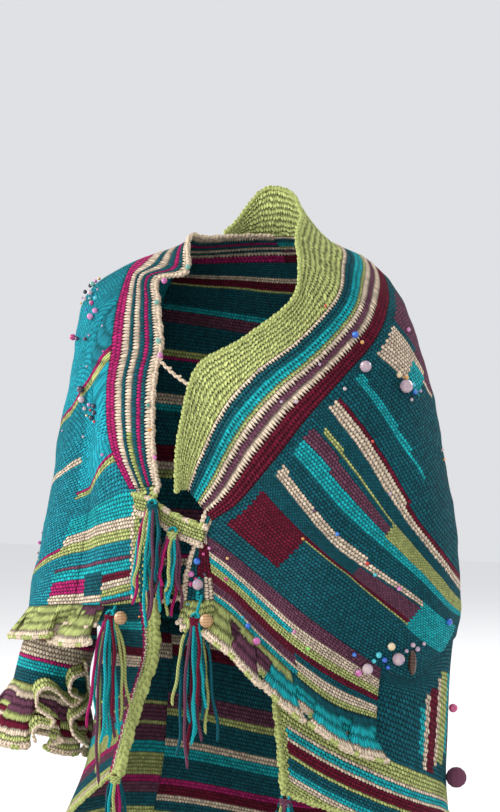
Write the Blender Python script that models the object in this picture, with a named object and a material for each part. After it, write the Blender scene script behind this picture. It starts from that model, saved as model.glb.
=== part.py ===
"""Freeform crocheted wrap jacket in the form it takes when worn. Metres, +Z up.

The front faces -Y and the wearer's left is +X. The origin is the middle of the base of the
wearer's neck. Angles go round the body: 0 is the front, 90 the wearer's left, -90 the right.
Levels go down it: 0 is the collar's top, 1 the neck seam, 4 the upper arm, 7 the upper tier's hem.
"""

import math
import random

import bmesh
import bpy
import numpy as np

CLOTH = 0.003
SEAM = 0.0002
YARN = 0.0016
LAP = CLOTH + 0.0003
KNOT = 0.0082
WOOD_BEAD = 0.0088
BOBBLE = 0.0135
PEARL = 0.0058

# Columns: z_front z_right z_left z_back half_right half_left depth_front depth_back power
BODY = (
    (0.030, 0.105, 0.105, 0.140, 0.066, 0.076, 0.064, 0.072, 2.0),
    (0.000, 0.068, 0.062, 0.085, 0.080, 0.128, 0.078, 0.088, 2.0),
    (-0.045, 0.042, 0.036, 0.050, 0.160, 0.180, 0.112, 0.125, 2.0),
    (-0.100, 0.000, -0.008, -0.020, 0.228, 0.220, 0.132, 0.145, 2.2),
    (-0.165, -0.090, -0.090, -0.110, 0.240, 0.254, 0.152, 0.155, 2.3),
    (-0.235, -0.190, -0.190, -0.205, 0.256, 0.280, 0.166, 0.158, 2.4),
    (-0.325, -0.310, -0.310, -0.315, 0.280, 0.302, 0.162, 0.158, 2.5),
    (-0.415, -0.425, -0.410, -0.420, 0.308, 0.310, 0.168, 0.162, 2.5),
    (-0.505, -0.500, -0.485, -0.500, 0.300, 0.294, 0.180, 0.170, 2.4),
    (-0.600, -0.590, -0.570, -0.590, 0.280, 0.288, 0.192, 0.175, 2.4),
)

# Columns as for BODY
SKIRT = (
    (-0.470, -0.470, -0.510, -0.500, 0.186, 0.292, 0.148, 0.158, 2.3),
    (-0.515, -0.560, -0.575, -0.600, 0.196, 0.288, 0.156, 0.166, 2.3),
    (-0.555, -0.650, -0.630, -0.690, 0.210, 0.284, 0.166, 0.176, 2.3),
    (-0.590, -0.735, -0.675, -0.765, 0.252, 0.286, 0.172, 0.184, 2.3),
)

# Columns: angle width first_level last_level depth
FOLDS = (
    (-50, 7.0, 3.6, 7.6, 0.0150),
    (-84, 9.0, 4.2, 7.4, 0.0060),
    (62, 8.0, 5.6, 7.8, 0.0050),
    (98, 9.0, 4.6, 7.6, 0.0050),
    (146, 11.0, 3.6, 7.6, 0.0080),
    (182, 10.0, 3.4, 7.6, 0.0090),
    (216, 11.0, 3.6, 7.6, 0.0080),
)

# Columns: angle level steps_to_next
COLLAR_FREE = (
    (180, 0.00, 6), (118, 0.00, 3), (92, 0.30, 3), (74, 0.75, 3), (63, 1.75, 3),
    (54, 2.70, 2), (35, 2.97, 2), (9, 3.10, 2), (3, 4.20, 2), (2.5, 5.30, 0),
)
COLLAR_SEAM = (
    (180, 1.15, 6), (118, 1.10, 3), (95, 1.30, 3), (78, 2.05, 3), (68, 2.90, 3),
    (53, 3.41, 2), (36, 3.65, 2), (22, 4.06, 2), (12, 4.85, 2), (6.9, 5.30, 0),
)
LEFT_BAND_OUTER = (
    (180, 2.10, 6), (118, 2.15, 3), (100, 2.50, 3), (88, 3.15, 3), (77, 3.68, 3),
    (64, 4.15, 2), (52, 4.62, 2), (42, 5.08, 2), (30, 5.52, 2), (18.5, 5.73, 0),
)
RIGHT_BAND_INNER = (
    (-180, 1.15, 6), (-118, 0.90, 3), (-72, 0.72, 2), (-37, 0.90, 2), (-47, 1.60, 3), (-33, 2.00, 3),
    (-21, 2.70, 2), (-19, 3.45, 2), (-13, 4.60, 2), (-9, 5.25, 0),
)
RIGHT_BAND_OUTER = (
    (-180, 2.10, 6), (-118, 1.95, 3), (-90, 1.75, 4), (-64, 2.10, 3), (-52, 2.60, 3),
    (-44.5, 3.40, 2), (-42.5, 4.00, 2), (-34, 4.80, 2), (-22.9, 5.37, 0),
)
RIGHT_FOLD = (
    (-52, 2.60, 4), (-54, 3.70, 4), (-46.5, 5.00, 4), (-50, 6.10, 4), (-51, 6.93, 0),
)
RIGHT_FRONT_EDGE = ((-9, 5.25, 1), (-14.6, 5.81, 2), (-13.3, 6.87, 0))
RIGHT_HEM_FRONT = ((-51, 6.93, 4), (-34, 6.93, 4), (-13.3, 6.87, 0))
RIGHT_HEM_SIDE = ((-118, 7.00, 5), (-84, 7.05, 5), (-51, 6.93, 0))
LEFT_HEM_SIDE = ((118, 7.45, 2), (100, 7.55, 2), (88, 7.80, 1), (78, 8.10, 1), (69, 7.88, 0))
BORDER_TOP = (
    (69, 7.88, 4), (54, 7.15, 4), (38, 6.51, 3), (26, 6.15, 3), (15.7, 5.92, 0),
)
BORDER_LOW = (
    (68, 8.61, 4), (56, 8.30, 4), (40, 7.53, 3), (29, 7.05, 3), (19.7, 6.81, 0),
)
LEFT_EDGE_FREE = ((15.6, 5.62, 1), (10.8, 6.00, 2), (6.5, 6.41, 2), (4.5, 6.83, 0))
BACK_HEM = ((118, 7.45, 6), (180, 7.05, 6), (242, 7.00, 0))


def spline(rows, place):
    """The row of a table at a place between its rows, on a smooth curve through them."""
    rows = np.asarray(rows, float)
    index = int(min(max(math.floor(place), 0), len(rows) - 2))
    t = place - index
    second, third = rows[index], rows[index + 1]
    first = rows[index - 1] if index > 0 else 2 * second - third
    fourth = rows[index + 2] if index + 2 < len(rows) else 2 * third - second
    slope = third - first
    bend = 2 * first - 5 * second + 4 * third - fourth
    twist = 3 * second - 3 * third + fourth - first
    return second + 0.5 * t * (slope + t * (bend + t * twist))


def ring_point(row, angle, push=0.0):
    """The point of a ring of the body at an angle, pushed out along its radius."""
    z_front, z_right, z_left, z_back, right, left, front, back, power = row
    s, c = math.sin(math.radians(angle)), math.cos(math.radians(angle))
    half = left if s > 0 else right
    depth = front if c > 0 else back
    radius = (abs(s / half) ** power + abs(c / depth) ** power) ** (-1 / power) + push
    z_side = z_left if s > 0 else z_right
    z_end = z_front if c > 0 else z_back
    return np.array([radius * s, -radius * c, z_side * s * s + z_end * c * c])


def fold_push(angle, level):
    """How far the hanging folds draw the cloth in at this place."""
    push = 0.0
    for centre, width, first, last, depth in FOLDS:
        apart = (angle - centre + 180) % 360 - 180
        if not first < level < last + 1.4:
            continue
        fade = min((level - first) / 1.2, 1) * min((last + 1.4 - level) / 0.6, 1)
        push -= depth * fade * math.exp(-((apart / width) ** 2))
    return push


def body_point(angle, level):
    return ring_point(spline(BODY, level), angle, fold_push(angle, level))


def body_skin(places, out=0.0):
    """Points on the body at each (angle, level), moved out along the normal."""
    flat = np.asarray(places, float).reshape(-1, 2)
    found = []
    for angle, level in flat:
        point = body_point(angle, level)
        across = body_point(angle + 0.8, level) - body_point(angle - 0.8, level)
        down = body_point(angle, level + 0.03) - body_point(angle, level - 0.03)
        normal = np.cross(down, across)
        found.append(point + out * normal / np.linalg.norm(normal))
    return np.array(found).reshape(np.asarray(places).shape[:-1] + (3,))


def path(table):
    """The (angle, level) points of a table, with its own number of steps between two rows."""
    rows = [row[:2] for row in table]
    places = [
        index + step / table[index][2]
        for index in range(len(table) - 1)
        for step in range(table[index][2])
    ]
    return np.array([spline(rows, place) for place in places + [len(table) - 1]])


def between(first, second, count):
    """A grid from one path to another, count steps across."""
    share = np.linspace(0, 1, count + 1)[None, :, None]
    return first[:, None] * (1 - share) + second[:, None] * share


def panel(top, bottom, start, end):
    """A grid that fills four paths: start and end run from the top path to the bottom one."""
    u = np.linspace(0, 1, len(top))[:, None, None]
    v = np.linspace(0, 1, len(start))[None, :, None]
    lengthwise = (1 - v) * top[:, None] + v * bottom[:, None]
    crosswise = (1 - u) * start[None] + u * end[None]
    corners = (
        (1 - u) * (1 - v) * top[0] + u * (1 - v) * top[-1]
        + (1 - u) * v * bottom[0] + u * v * bottom[-1]
    )
    return lengthwise + crosswise - corners


def unit(vectors):
    return vectors / np.maximum(np.linalg.norm(vectors, axis=-1, keepdims=True), 1e-9)


def draw_in(points, amount=SEAM, looped=False):
    """Moves the outline of a grid in, so that two pieces leave a seam between them."""
    moved = points.copy()
    if not looped:
        moved[0] += amount * unit(points[1] - points[0])
        moved[-1] += amount * unit(points[-2] - points[-1])
    moved[:, 0] += amount * unit(points[:, 1] - points[:, 0])
    moved[:, -1] += amount * unit(points[:, -2] - points[:, -1])
    return moved


def material(name, colour, roughness=0.9, metallic=0.0):
    made = bpy.data.materials.new(name)
    made.use_nodes = True
    shader = made.node_tree.nodes["Principled BSDF"]
    shader.inputs["Base Color"].default_value = (*colour, 1)
    shader.inputs["Roughness"].default_value = roughness
    shader.inputs["Metallic"].default_value = metallic
    made.diffuse_color = (*colour, 1)
    return made


def add_object(name, mesh, paint):
    body = bpy.data.objects.new(name, mesh)
    mesh.materials.append(paint)
    parts.objects.link(body)
    body.parent = root
    return body


def wall(name, outer, inner, paint, looped=False):
    """A closed cloth wall from the grids of its outer and inner skins."""
    across, down = outer.shape[:2]
    bm = bmesh.new()
    skins = [
        [[bm.verts.new(point) for point in line] for line in grid] for grid in (outer, inner)
    ]
    out, back = skins
    for i in range(across if looped else across - 1):
        after = (i + 1) % across
        for j in range(down - 1):
            bm.faces.new((out[i][j], out[i][j + 1], out[after][j + 1], out[after][j]))
            bm.faces.new((back[i][j], back[after][j], back[after][j + 1], back[i][j + 1]))
        bm.faces.new((out[i][0], out[after][0], back[after][0], back[i][0]))
        bm.faces.new((out[i][-1], back[i][-1], back[after][-1], out[after][-1]))
    if not looped:
        for j in range(down - 1):
            bm.faces.new((out[0][j], back[0][j], back[0][j + 1], out[0][j + 1]))
            bm.faces.new((out[-1][j], out[-1][j + 1], back[-1][j + 1], back[-1][j]))
    bmesh.ops.remove_doubles(bm, verts=bm.verts, dist=1e-6)
    bmesh.ops.recalc_face_normals(bm, faces=bm.faces)
    mesh = bpy.data.meshes.new(name)
    bm.to_mesh(mesh)
    bm.free()
    return add_object(name, mesh, paint)


def cloth(name, places, paint, amount=SEAM):
    """A wall that lies on the body over a grid of (angle, level). Returns its two skins."""
    outer, inner = body_skin(places), body_skin(places, -CLOTH)
    wall(name, draw_in(outer, amount), draw_in(inner, amount), paint)
    return outer, inner


def finer(line, count):
    """Points on the straight runs between the points of a line, count to each run."""
    share = np.linspace(0, 1, count, endpoint=False)[:, None]
    runs = [a * (1 - share) + b * share for a, b in zip(line[:-1], line[1:])]
    return np.concatenate(runs + [line[-1:]])


def sweep_normal(grid, toward, looped=False):
    """Unit normals of a grid, turned to the side that toward points to."""
    if looped:
        along = np.roll(grid, -1, 0) - np.roll(grid, 1, 0)
    else:
        along = np.gradient(grid, axis=0)
    normal = unit(np.cross(along, np.gradient(grid, axis=1)))
    return normal * np.sign((normal * toward).sum(-1, keepdims=True))


def ruffle(name, skins, paint, drop, flare, swing, waves, rows=3, looped=False, squash=0.0):
    """A waved frill hung from the edge of a piece, whose two skins it carries on.

    skins holds the outer and inner edge and the way that the cloth falls at each point. flare
    moves the whole edge out, swing is the reach of the waves, and squash takes that much of both
    away on the side that faces the body.
    """
    outer, inner, fall = skins
    outward = unit(outer - inner)
    count = len(outer)
    grid = np.empty((count, rows + 1, 3))
    for i in range(count):
        turn = 2 * math.pi * waves * i / (count if looped else count - 1)
        after = (i + 1) % count if looped else min(i + 1, count - 1)
        before = (i - 1) % count if looped else max(i - 1, 0)
        along = unit(outer[after] - outer[before])
        room = 1 - squash * max(outward[i][0], 0)
        for j in range(rows + 1):
            v = j / rows
            push = room * (flare * v + swing * v**1.3 * (1 - math.cos(turn)) / 2)
            slide = 0.22 * swing * v * math.sin(2 * turn)
            length = drop * (1 - 0.12 * math.cos(turn))
            grid[i, j] = outer[i] + fall[i] * length * v + outward[i] * push + along * slide
    back = grid - CLOTH * sweep_normal(grid, outward[:, None], looped)
    back[:, 0] = inner
    wall(name, draw_in(grid, SEAM, looped), draw_in(back, SEAM, looped), paint, looped)


def edge_of(skins, count, first=None, last=None):
    """The bottom edge of a piece, finer, with the way that its cloth falls there."""
    outer, inner = skins
    pick = slice(first, last)
    fall = unit(outer[pick, -1] - outer[pick, -2])
    return (
        finer(outer[pick, -1], count),
        finer(inner[pick, -1], count),
        unit(finer(fall, count)),
    )


def ball(name, centre, radius, paint, stretch=(1, 1, 1)):
    bm = bmesh.new()
    bmesh.ops.create_uvsphere(bm, u_segments=10, v_segments=7, radius=radius)
    mesh = bpy.data.meshes.new(name)
    bm.to_mesh(mesh)
    bm.free()
    body = add_object(name, mesh, paint)
    body.location = centre
    body.scale = stretch
    return body


def strand(name, points, thickness):
    """One length of yarn as a capped tube. It goes to the collection of helpers."""
    curve = bpy.data.curves.new(name, "CURVE")
    curve.dimensions = "3D"
    curve.bevel_depth = thickness
    curve.bevel_resolution = 0
    curve.use_fill_caps = True
    line = curve.splines.new("POLY")
    line.points.add(len(points) - 1)
    for point, place in zip(line.points, points):
        point.co = (*place, 1)
    holder = bpy.data.objects.new(name, curve)
    helpers.objects.link(holder)
    mesh = bpy.data.meshes.new_from_object(holder)
    bpy.data.objects.remove(holder)
    bm = bmesh.new()
    bm.from_mesh(mesh)
    bmesh.ops.remove_doubles(bm, verts=bm.verts, dist=1e-6)
    bmesh.ops.recalc_face_normals(bm, faces=bm.faces)
    bm.to_mesh(mesh)
    bm.free()
    made = bpy.data.objects.new(name, mesh)
    made.hide_render = True
    made.display_type = "WIRE"
    return made


def tassel(name, knot, length, strands, spread, seed, paint, forward=0.0, lead=None):
    """A yarn tassel: strands that hang from a knot at their own lengths and fan out.

    forward is how far they lean to the front. lead is where the yarn that it hangs by ends, for
    a knot that is not at the cloth.
    """
    dice = random.Random(seed)
    group = bpy.data.collections.new(name + "_strands")
    group.hide_render = True
    bpy.context.scene.collection.children.link(group)
    for index in range(strands):
        turn = 2 * math.pi * index / (strands - 1) if index else 0
        root_out = 0.0052 if index else 0.0
        reach = length * dice.uniform(0.62, 1)
        lean = spread * dice.uniform(0.7, 1.2) if index else 0.0
        steps = 5
        points = []
        for step in range(steps + 1):
            v = step / steps
            out = root_out + lean * v**1.4
            sway = 0.0012 * math.sin(7 * v + index)
            points.append((
                knot[0] + math.cos(turn) * out + sway * v,
                knot[1] + 0.55 * math.sin(turn) * out - forward * v,
                knot[2] - 0.002 - reach * v,
            ))
        group.objects.link(strand(f"{name}_{index}", points, YARN))
    if lead is not None:
        hung = [knot, (np.array(knot) + lead) / 2, lead - (0, 0, 0.004), lead]
        group.objects.link(strand(name + "_lead", hung, YARN))
    head = ball(name, knot, KNOT, paint, (1, 0.72, 1.05))
    join = head.modifiers.new("strands", "BOOLEAN")
    join.operation = "UNION"
    join.operand_type = "COLLECTION"
    join.collection = group
    join.solver = "EXACT"


def loft(rings, steps):
    """A smooth grid down through a list of equally long lines of points."""
    count = len(rings[0])
    places = np.linspace(0, len(rings) - 1, steps * (len(rings) - 1) + 1)
    return np.array([
        [spline([ring[i] for ring in rings], place) for place in places] for i in range(count)
    ])


def tube(name, rings, steps, paint):
    """A looped wall through rings whose first one is the top of its outer skin. Returns both skins."""
    outer = loft(rings, steps)
    outward = (outer - outer.mean((0, 1))) * (1, 1, 0)
    inner = outer - CLOTH * sweep_normal(outer, outward, True)
    wall(name, draw_in(outer, SEAM, True), draw_in(inner, SEAM, True), paint, True)
    return outer, inner


def ring_line(row, angles, inward=0.0):
    """Points of a ring at some angles, moved in by the wall where it is asked for."""
    points = []
    for angle in angles:
        ahead, behind = ring_point(row, angle + 0.5), ring_point(row, angle - 0.5)
        outward = unit(np.array([ahead[1] - behind[1], behind[0] - ahead[0], 0]))
        points.append(ring_point(row, angle) - inward * outward)
    return np.array(points)


def skirt(name, top, angles, free_angles, paint):
    """A skirt wall from its top to the hem. Returns its two skins.

    top holds the outer and the inner line that it starts from, angles are theirs, and
    free_angles are those of its front edge on each of the rings below.
    """
    first, last = angles[0], angles[-1]
    skins = []
    for line, inward in zip(top, (0.0, CLOTH)):
        lines = [line]
        for row, edge in zip(SKIRT, free_angles):
            share = (angles - last) / (first - last)
            lines.append(ring_line(row, last + share * (edge - last), inward))
        skins.append(loft(lines, 2))
    wall(name, draw_in(skins[0]), draw_in(skins[1]), paint)
    return skins


def on_body(angle, level, out=0.0):
    return body_skin([[angle, level]], out)[0]


def chain(name, first, last, sag, thickness, paint):
    """A crocheted chain that hangs between two edges, short of each by the seam's gap."""
    run = unit(last - first)
    first, last = first + 0.0014 * run, last - 0.0014 * run
    share = np.linspace(0, 1, 9)[:, None]
    points = first * (1 - share) + last * share - 4 * share * (1 - share) * (0, 0, sag)
    made = strand(name, points, thickness)
    made.hide_render = False
    made.display_type = "TEXTURED"
    made.data.materials.append(paint)
    parts.objects.link(made)
    made.parent = root


def beside(skins, column, row, radius):
    """The centre of a ball that touches a piece's outer skin at one of its points."""
    outer, inner = skins
    return outer[column, row] + (radius + 0.0003) * unit(outer[column, row] - inner[column, row])


for old in list(bpy.data.objects):
    bpy.data.objects.remove(old)
parts = bpy.data.collections.new("crochet_wrap")
bpy.context.scene.collection.children.link(parts)
helpers = bpy.data.collections.new("helpers")
helpers.hide_render = True
bpy.context.scene.collection.children.link(helpers)
root = bpy.data.objects.new("crochet_wrap_root", None)
parts.objects.link(root)

lime = material("lime_yarn", (0.36, 0.40, 0.09))
teal = material("teal_yarn", (0.008, 0.11, 0.14))
turquoise = material("turquoise_yarn", (0.01, 0.38, 0.40))
cream = material("cream_yarn", (0.58, 0.47, 0.37))
burgundy = material("burgundy_yarn", (0.15, 0.008, 0.035))
mauve = material("mauve_yarn", (0.13, 0.045, 0.075))
magenta = material("magenta_yarn", (0.38, 0.02, 0.12))
wood = material("pale_wood", (0.56, 0.33, 0.17), 0.5)
dark_wood = material("dark_wood", (0.05, 0.02, 0.015), 0.35)
pearl = material("pearl_gloss", (0.55, 0.5, 0.5), 0.25, 0.2)

collar_free = path(COLLAR_FREE)
collar_seam = path(COLLAR_SEAM)
left_outer = path(LEFT_BAND_OUTER)
right_inner = path(RIGHT_BAND_INNER)
right_outer = path(RIGHT_BAND_OUTER)
border_top = path(BORDER_TOP)
border_low = path(BORDER_LOW)
left_hem = path(LEFT_HEM_SIDE)
right_hem_side = path(RIGHT_HEM_SIDE)
right_hem_front = path(RIGHT_HEM_FRONT)
right_fold = path(RIGHT_FOLD)
back_hem = path(BACK_HEM)

nape_seam = right_inner[1:5][::-1] + (360, 0)
nape_rise = np.array([0.08, 0.36, 0.72, 1.0])[:, None] * (0, 1)
collar_free = np.concatenate([nape_seam - nape_rise, collar_free])
collar_whole_seam = np.concatenate([nape_seam, collar_seam])
cloth("collar", between(collar_free, collar_whole_seam, 4), lime)
left_band = between(collar_seam, left_outer, 4)
cloth("left_front_band", left_band, burgundy)
right_band = between(right_inner, right_outer, 4)
cloth("right_front_band", right_band, magenta)

left_side_seam = np.linspace(left_outer[6], left_hem[0], 17)
left_tip = np.linspace(left_outer[-1], border_top[-1], 17)
left_bottom = np.concatenate([left_hem, border_top[1:]])
left_front = cloth(
    "left_front", panel(left_outer[6:], left_bottom, left_side_seam, left_tip), teal
)

right_side_seam = np.linspace(right_outer[6], right_hem_side[0], 17)
right_sleeve = cloth(
    "right_sleeve", panel(right_outer[6:17], right_hem_side, right_side_seam, right_fold), teal
)
band_end = right_band[-1][::-1]
front_side = np.concatenate([right_outer[16:], band_end[1:], path(RIGHT_FRONT_EDGE)[1:]])
across_front = np.linspace(right_outer[16], right_outer[16], len(right_hem_front))
right_front = cloth(
    "right_front", panel(across_front, right_hem_front, right_fold, front_side), turquoise
)
border_start = between(border_top[::-1][:1], border_low[::-1][:1], 4)[0]
border_end = between(border_top[:1], border_low[:1], 4)[0]
left_border = cloth("left_border", panel(border_top, border_low, border_end, border_start), mauve)

edge_top = np.array([left_band[-1][3], (left_band[-1][3] + left_band[-1][4]) / 2, left_band[-1][4]])
edge_low = between(path(LEFT_EDGE_FREE)[-1:], border_start[-1:], 2)[0]
left_edge = cloth(
    "left_edge_strip",
    panel(edge_top, edge_low, path(LEFT_EDGE_FREE), np.concatenate([left_outer[-1:], border_start])),
    burgundy,
    0.0003,
)

back_top = np.concatenate([left_outer[:7][::-1], right_outer[1:7] + (360, 0)])
back_right_seam = right_side_seam + (360, 0)
back = cloth("back", panel(back_top, back_hem, left_side_seam, back_right_seam), teal)


hem_front = edge_of(right_front, 5, 0, 5)
ruffle("right_hem_ruffle", hem_front, lime, drop=0.044, flare=0.012, swing=0.018, waves=2)
hem_side = edge_of(right_sleeve, 4)
ruffle("right_side_ruffle", hem_side, lime, drop=0.041, flare=0.011, swing=0.015, waves=5)
border_hem = edge_of(left_border, 4)
ruffle("left_ruffle", border_hem, cream, drop=0.046, flare=0.004, swing=0.024, waves=5)
edge_hem = edge_of(left_edge, 6)
ruffle("left_edge_ruffle", edge_hem, lime, drop=0.036, flare=0.004, swing=0.014, waves=1)
back_hem_line = edge_of(back, 4)
ruffle("back_ruffle", back_hem_line, cream, drop=0.044, flare=0.010, swing=0.018, waves=10)

sleeve_seam = body_skin(right_hem_side[3:10], -LAP)
# Columns: x y z
CUFF_ARC = ((-0.199, -0.108, -0.424), (-0.206, -0.045, -0.424), (-0.242, 0.000, -0.424))
arc_rows = [sleeve_seam[-1], *np.array(CUFF_ARC), sleeve_seam[0]]
arc = np.array([spline(arc_rows, place) for place in np.linspace(0, 4, 11)])[1:-1]
cuff_top = np.concatenate([sleeve_seam, arc])
# Columns: x y z radius
CUFF = (
    (-0.246, -0.056, -0.456, 0.046),
    (-0.256, -0.061, -0.500, 0.048),
    (-0.261, -0.062, -0.536, 0.052),
)
cuff_turn = np.arctan2(cuff_top[:, 1] - CUFF[0][1], cuff_top[:, 0] - CUFF[0][0])
start_turn = cuff_turn[0]
even_turn = start_turn + 2 * math.pi * np.arange(16) / 16
cuff_rings = [cuff_top] + [
    np.stack([
        x + radius * np.cos(even_turn),
        y + radius * np.sin(even_turn),
        np.full(16, z) + 0.012 * np.sin(even_turn - 2.4),
    ], axis=1)
    for x, y, z, radius in CUFF
]
lower_sleeve = tube("right_lower_sleeve", cuff_rings, 2, teal)
looped = [np.concatenate([skin, skin[:1]]) for skin in lower_sleeve]
cuff_edge = [line[:-1] for line in edge_of(looped, 4)]
ruffle(
    "right_cuff_ruffle", cuff_edge, cream, drop=0.078, flare=0.020, swing=0.026, waves=6,
    rows=4, looped=True, squash=1.0,
)

inside_angles = np.array([-56.0, -66, -76, -86, -97, -108])
right_top = []
for inward in (0.0, CLOTH):
    joined = body_skin(right_hem_front[1:], -LAP - inward)[::-1]
    inside = [
        ring_line((-0.43, -0.43, -0.43, -0.43, half, half, 0.150, 0.150, 2.2), [angle], inward)
        for angle, half in zip(inside_angles, (0.184, 0.180, 0.180, 0.182, 0.198, 0.232))
    ]
    corner = body_skin(right_hem_side[:1], -LAP - inward)
    right_top.append(np.concatenate([joined, *inside, corner]))
right_angles = np.concatenate([right_hem_front[1:, 0][::-1], inside_angles, [-118]])
right_skirt = skirt("skirt_right", right_top, right_angles, (-19, -23, -26, -28), teal)

back_line = [body_skin(back_hem, -LAP - inward) for inward in (0.0, CLOTH)]
skirt("skirt_back", back_line, back_hem[:, 0], (118, 118, 118, 118), teal)

under_angles = np.array([62.0, 55, 48, 42])
under = np.stack([under_angles, np.full(4, 7.95)], 1)
left_top = [
    np.concatenate([body_skin(left_hem, -LAP - inward), body_skin(under, -0.012 - inward)])[::-1]
    for inward in (0.0, CLOTH)
]
left_angles = np.concatenate([left_hem[:, 0], under_angles])[::-1]
left_skirt = skirt("skirt_left", left_top, left_angles, (43, 44, 44.5, 45), teal)


TIE_UPPER = ((-21, 5.42, 3), (-12, 5.46, 3), (-4, 5.60, 3), (6, 5.72, 3), (15.5, 5.82, 0))
TIE_LOWER = ((-19, 5.66, 3), (-11, 5.70, 3), (-3, 5.84, 3), (6, 5.97, 3), (14, 6.06, 0))
TIE_LIFT = 0.0005
tie_places = between(path(TIE_UPPER), path(TIE_LOWER), 3)
wall("bust_tie", body_skin(tie_places, TIE_LIFT + CLOTH), body_skin(tie_places, TIE_LIFT), lime)


neck_right = body_skin(right_inner[20], -CLOTH / 2)
neck_left = body_skin(collar_free[26], -CLOTH / 2)
chain("neck_chain", neck_right, neck_left, 0.004, 0.0026, cream)
waist_ends = [
    low + 0.007 * unit(high - low)
    for low, high in (
        body_skin(path(RIGHT_FRONT_EDGE)[[-1, -2]], -CLOTH / 2),
        body_skin(path(LEFT_EDGE_FREE)[[-1, -2]], -CLOTH / 2),
    )
]
chain("waist_chain", *waist_ends, 0.008, 0.0026, cream)

KNOT_OUT = 0.72 * KNOT + TIE_LIFT + CLOTH + 0.0004
bust_knot = on_body(-9.5, 5.53, KNOT_OUT)
tassel("tassel_bust", bust_knot, 0.160, 10, 0.007, 3, turquoise, 0.012)
tie_knot = on_body(0.5, 5.90, KNOT_OUT)
tassel("tassel_tie", tie_knot, 0.105, 9, 0.005, 5, teal, 0.012)

waist_knot = on_body(-28, 7.10, 0.012)
waist_lead = (right_front[0][5, -1] + right_front[1][5, -1]) / 2 - (0, 0, 0.0007)
tassel("tassel_waist_right", waist_knot, 0.215, 11, 0.010, 7, turquoise, 0.004, waist_lead)
bead_side = np.array([KNOT + WOOD_BEAD - 0.0008, 0, 0])
ball("wood_bead_right", waist_knot + bead_side, WOOD_BEAD, wood)

edge_knot = on_body(15.5, 7.10, 0.024)
edge_lead = on_body(14, 6.74, YARN + 0.0004)
tassel("tassel_waist_left", edge_knot, 0.185, 11, 0.008, 11, turquoise, 0.0, edge_lead)
ball("wood_bead_left", edge_knot + bead_side, WOOD_BEAD, wood)

drop = np.array([0, 0, -1.05 * KNOT - 0.0015])
right_corner = (right_skirt[0][0, -1] + right_skirt[0][1, -1]) / 2
left_corner = (left_skirt[0][0, -1] * 3 + left_skirt[0][1, -1]) / 4
inward = np.array([0, CLOTH / 2, 0])
tassel("tassel_hem_right", right_corner + drop + inward, 0.115, 8, 0.006, 13, magenta)
tassel("tassel_hem_left", left_corner + drop + inward + (0, 0, 0.0006), 0.110, 8, 0.006, 17, turquoise)


ball("mauve_bobble", beside(left_skirt, 8, 6, BOBBLE), BOBBLE, mauve)
ball("pink_bobble", beside(left_skirt, 8, 3, PEARL), PEARL, magenta)
# Columns: name angle level radius lift
PEARLS = (
    ("pearl_band", 69.9, 4.09, 0.0075, -0.0003),
    ("pearl_shoulder", 80.6, 4.42, 0.0085, -0.0003),
    ("pearl_waist", 13.2, 6.60, 0.0072, 0.0003),
    ("pearl_wing", 72.5, 7.72, 0.0080, -0.0021),
)
for name, angle, level, radius, lift in PEARLS:
    ball(name, on_body(angle, level, radius + lift), radius, pearl)
drop_centre = on_body(76.5, 7.80, 0.0045)
ball("wood_drop", drop_centre, 0.0052, dark_wood, (1, 1, 3.2))
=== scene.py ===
"""The looks of the freeform crochet wrap jacket: stitched walls, frills, tassels and beads.

Metres, +Z up. The front faces -Y and the wearer's left is +X. Angles go round the body, 0 at the
front and 90 at the wearer's left. Levels go down it: 1 is the neck seam, 7 the upper tier's hem.
"""

import math
import random

import bpy
import numpy as np
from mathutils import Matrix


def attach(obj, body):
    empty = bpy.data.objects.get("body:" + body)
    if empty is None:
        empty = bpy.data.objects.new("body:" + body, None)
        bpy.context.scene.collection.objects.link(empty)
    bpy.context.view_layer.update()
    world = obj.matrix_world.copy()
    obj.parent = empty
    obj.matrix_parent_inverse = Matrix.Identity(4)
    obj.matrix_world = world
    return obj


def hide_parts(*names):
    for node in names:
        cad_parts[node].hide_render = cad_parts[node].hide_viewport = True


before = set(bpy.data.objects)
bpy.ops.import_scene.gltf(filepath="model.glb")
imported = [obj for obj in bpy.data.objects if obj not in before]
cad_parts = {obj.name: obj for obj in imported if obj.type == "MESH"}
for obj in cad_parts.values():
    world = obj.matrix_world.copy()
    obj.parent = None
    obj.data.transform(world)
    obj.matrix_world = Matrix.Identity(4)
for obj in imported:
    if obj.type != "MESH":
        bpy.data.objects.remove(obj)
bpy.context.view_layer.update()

TAU = 2 * math.pi
# Steps of a path for each that its table counts, lines of a band for each row, and lines down a
# frill and across a curled strip
FINE = 5
LINES_A_ROW = 4
FRILL_LINES = 30
CURL_LINES = 7
# How many lines from its edge a panel is as uneven as the rest
SEAM_LINES = 6
# Thickness of the cloth, half a seam's gap, and how far one piece lies under the next
CLOTH = 0.0027
SEAM = 0.0001
LAP = 0.0033
# The width of a stitch, and how many there are to a degree round the body
STITCH = 0.0045
STITCHES_A_DEGREE = 1.12
# How far a band's rows stand out, and how far the band lies in
RIDGES = {"C": 0.0015, "L": 0.0005}
PLAIN_RIDGE = 0.0009
BAND_SINK = 0.0006
# The share of a frill's drop at which its lip turns in
LIP = 0.62
# Radii of a tassel's knot and strands, the yarn of a puff, and the yarn in one turn of its plies
KNOT = 0.0082
STRAND = 0.0020
PUFF_YARN = 0.006
PLY_TURN = 0.0045
YARN_SIDES = 6

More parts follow.
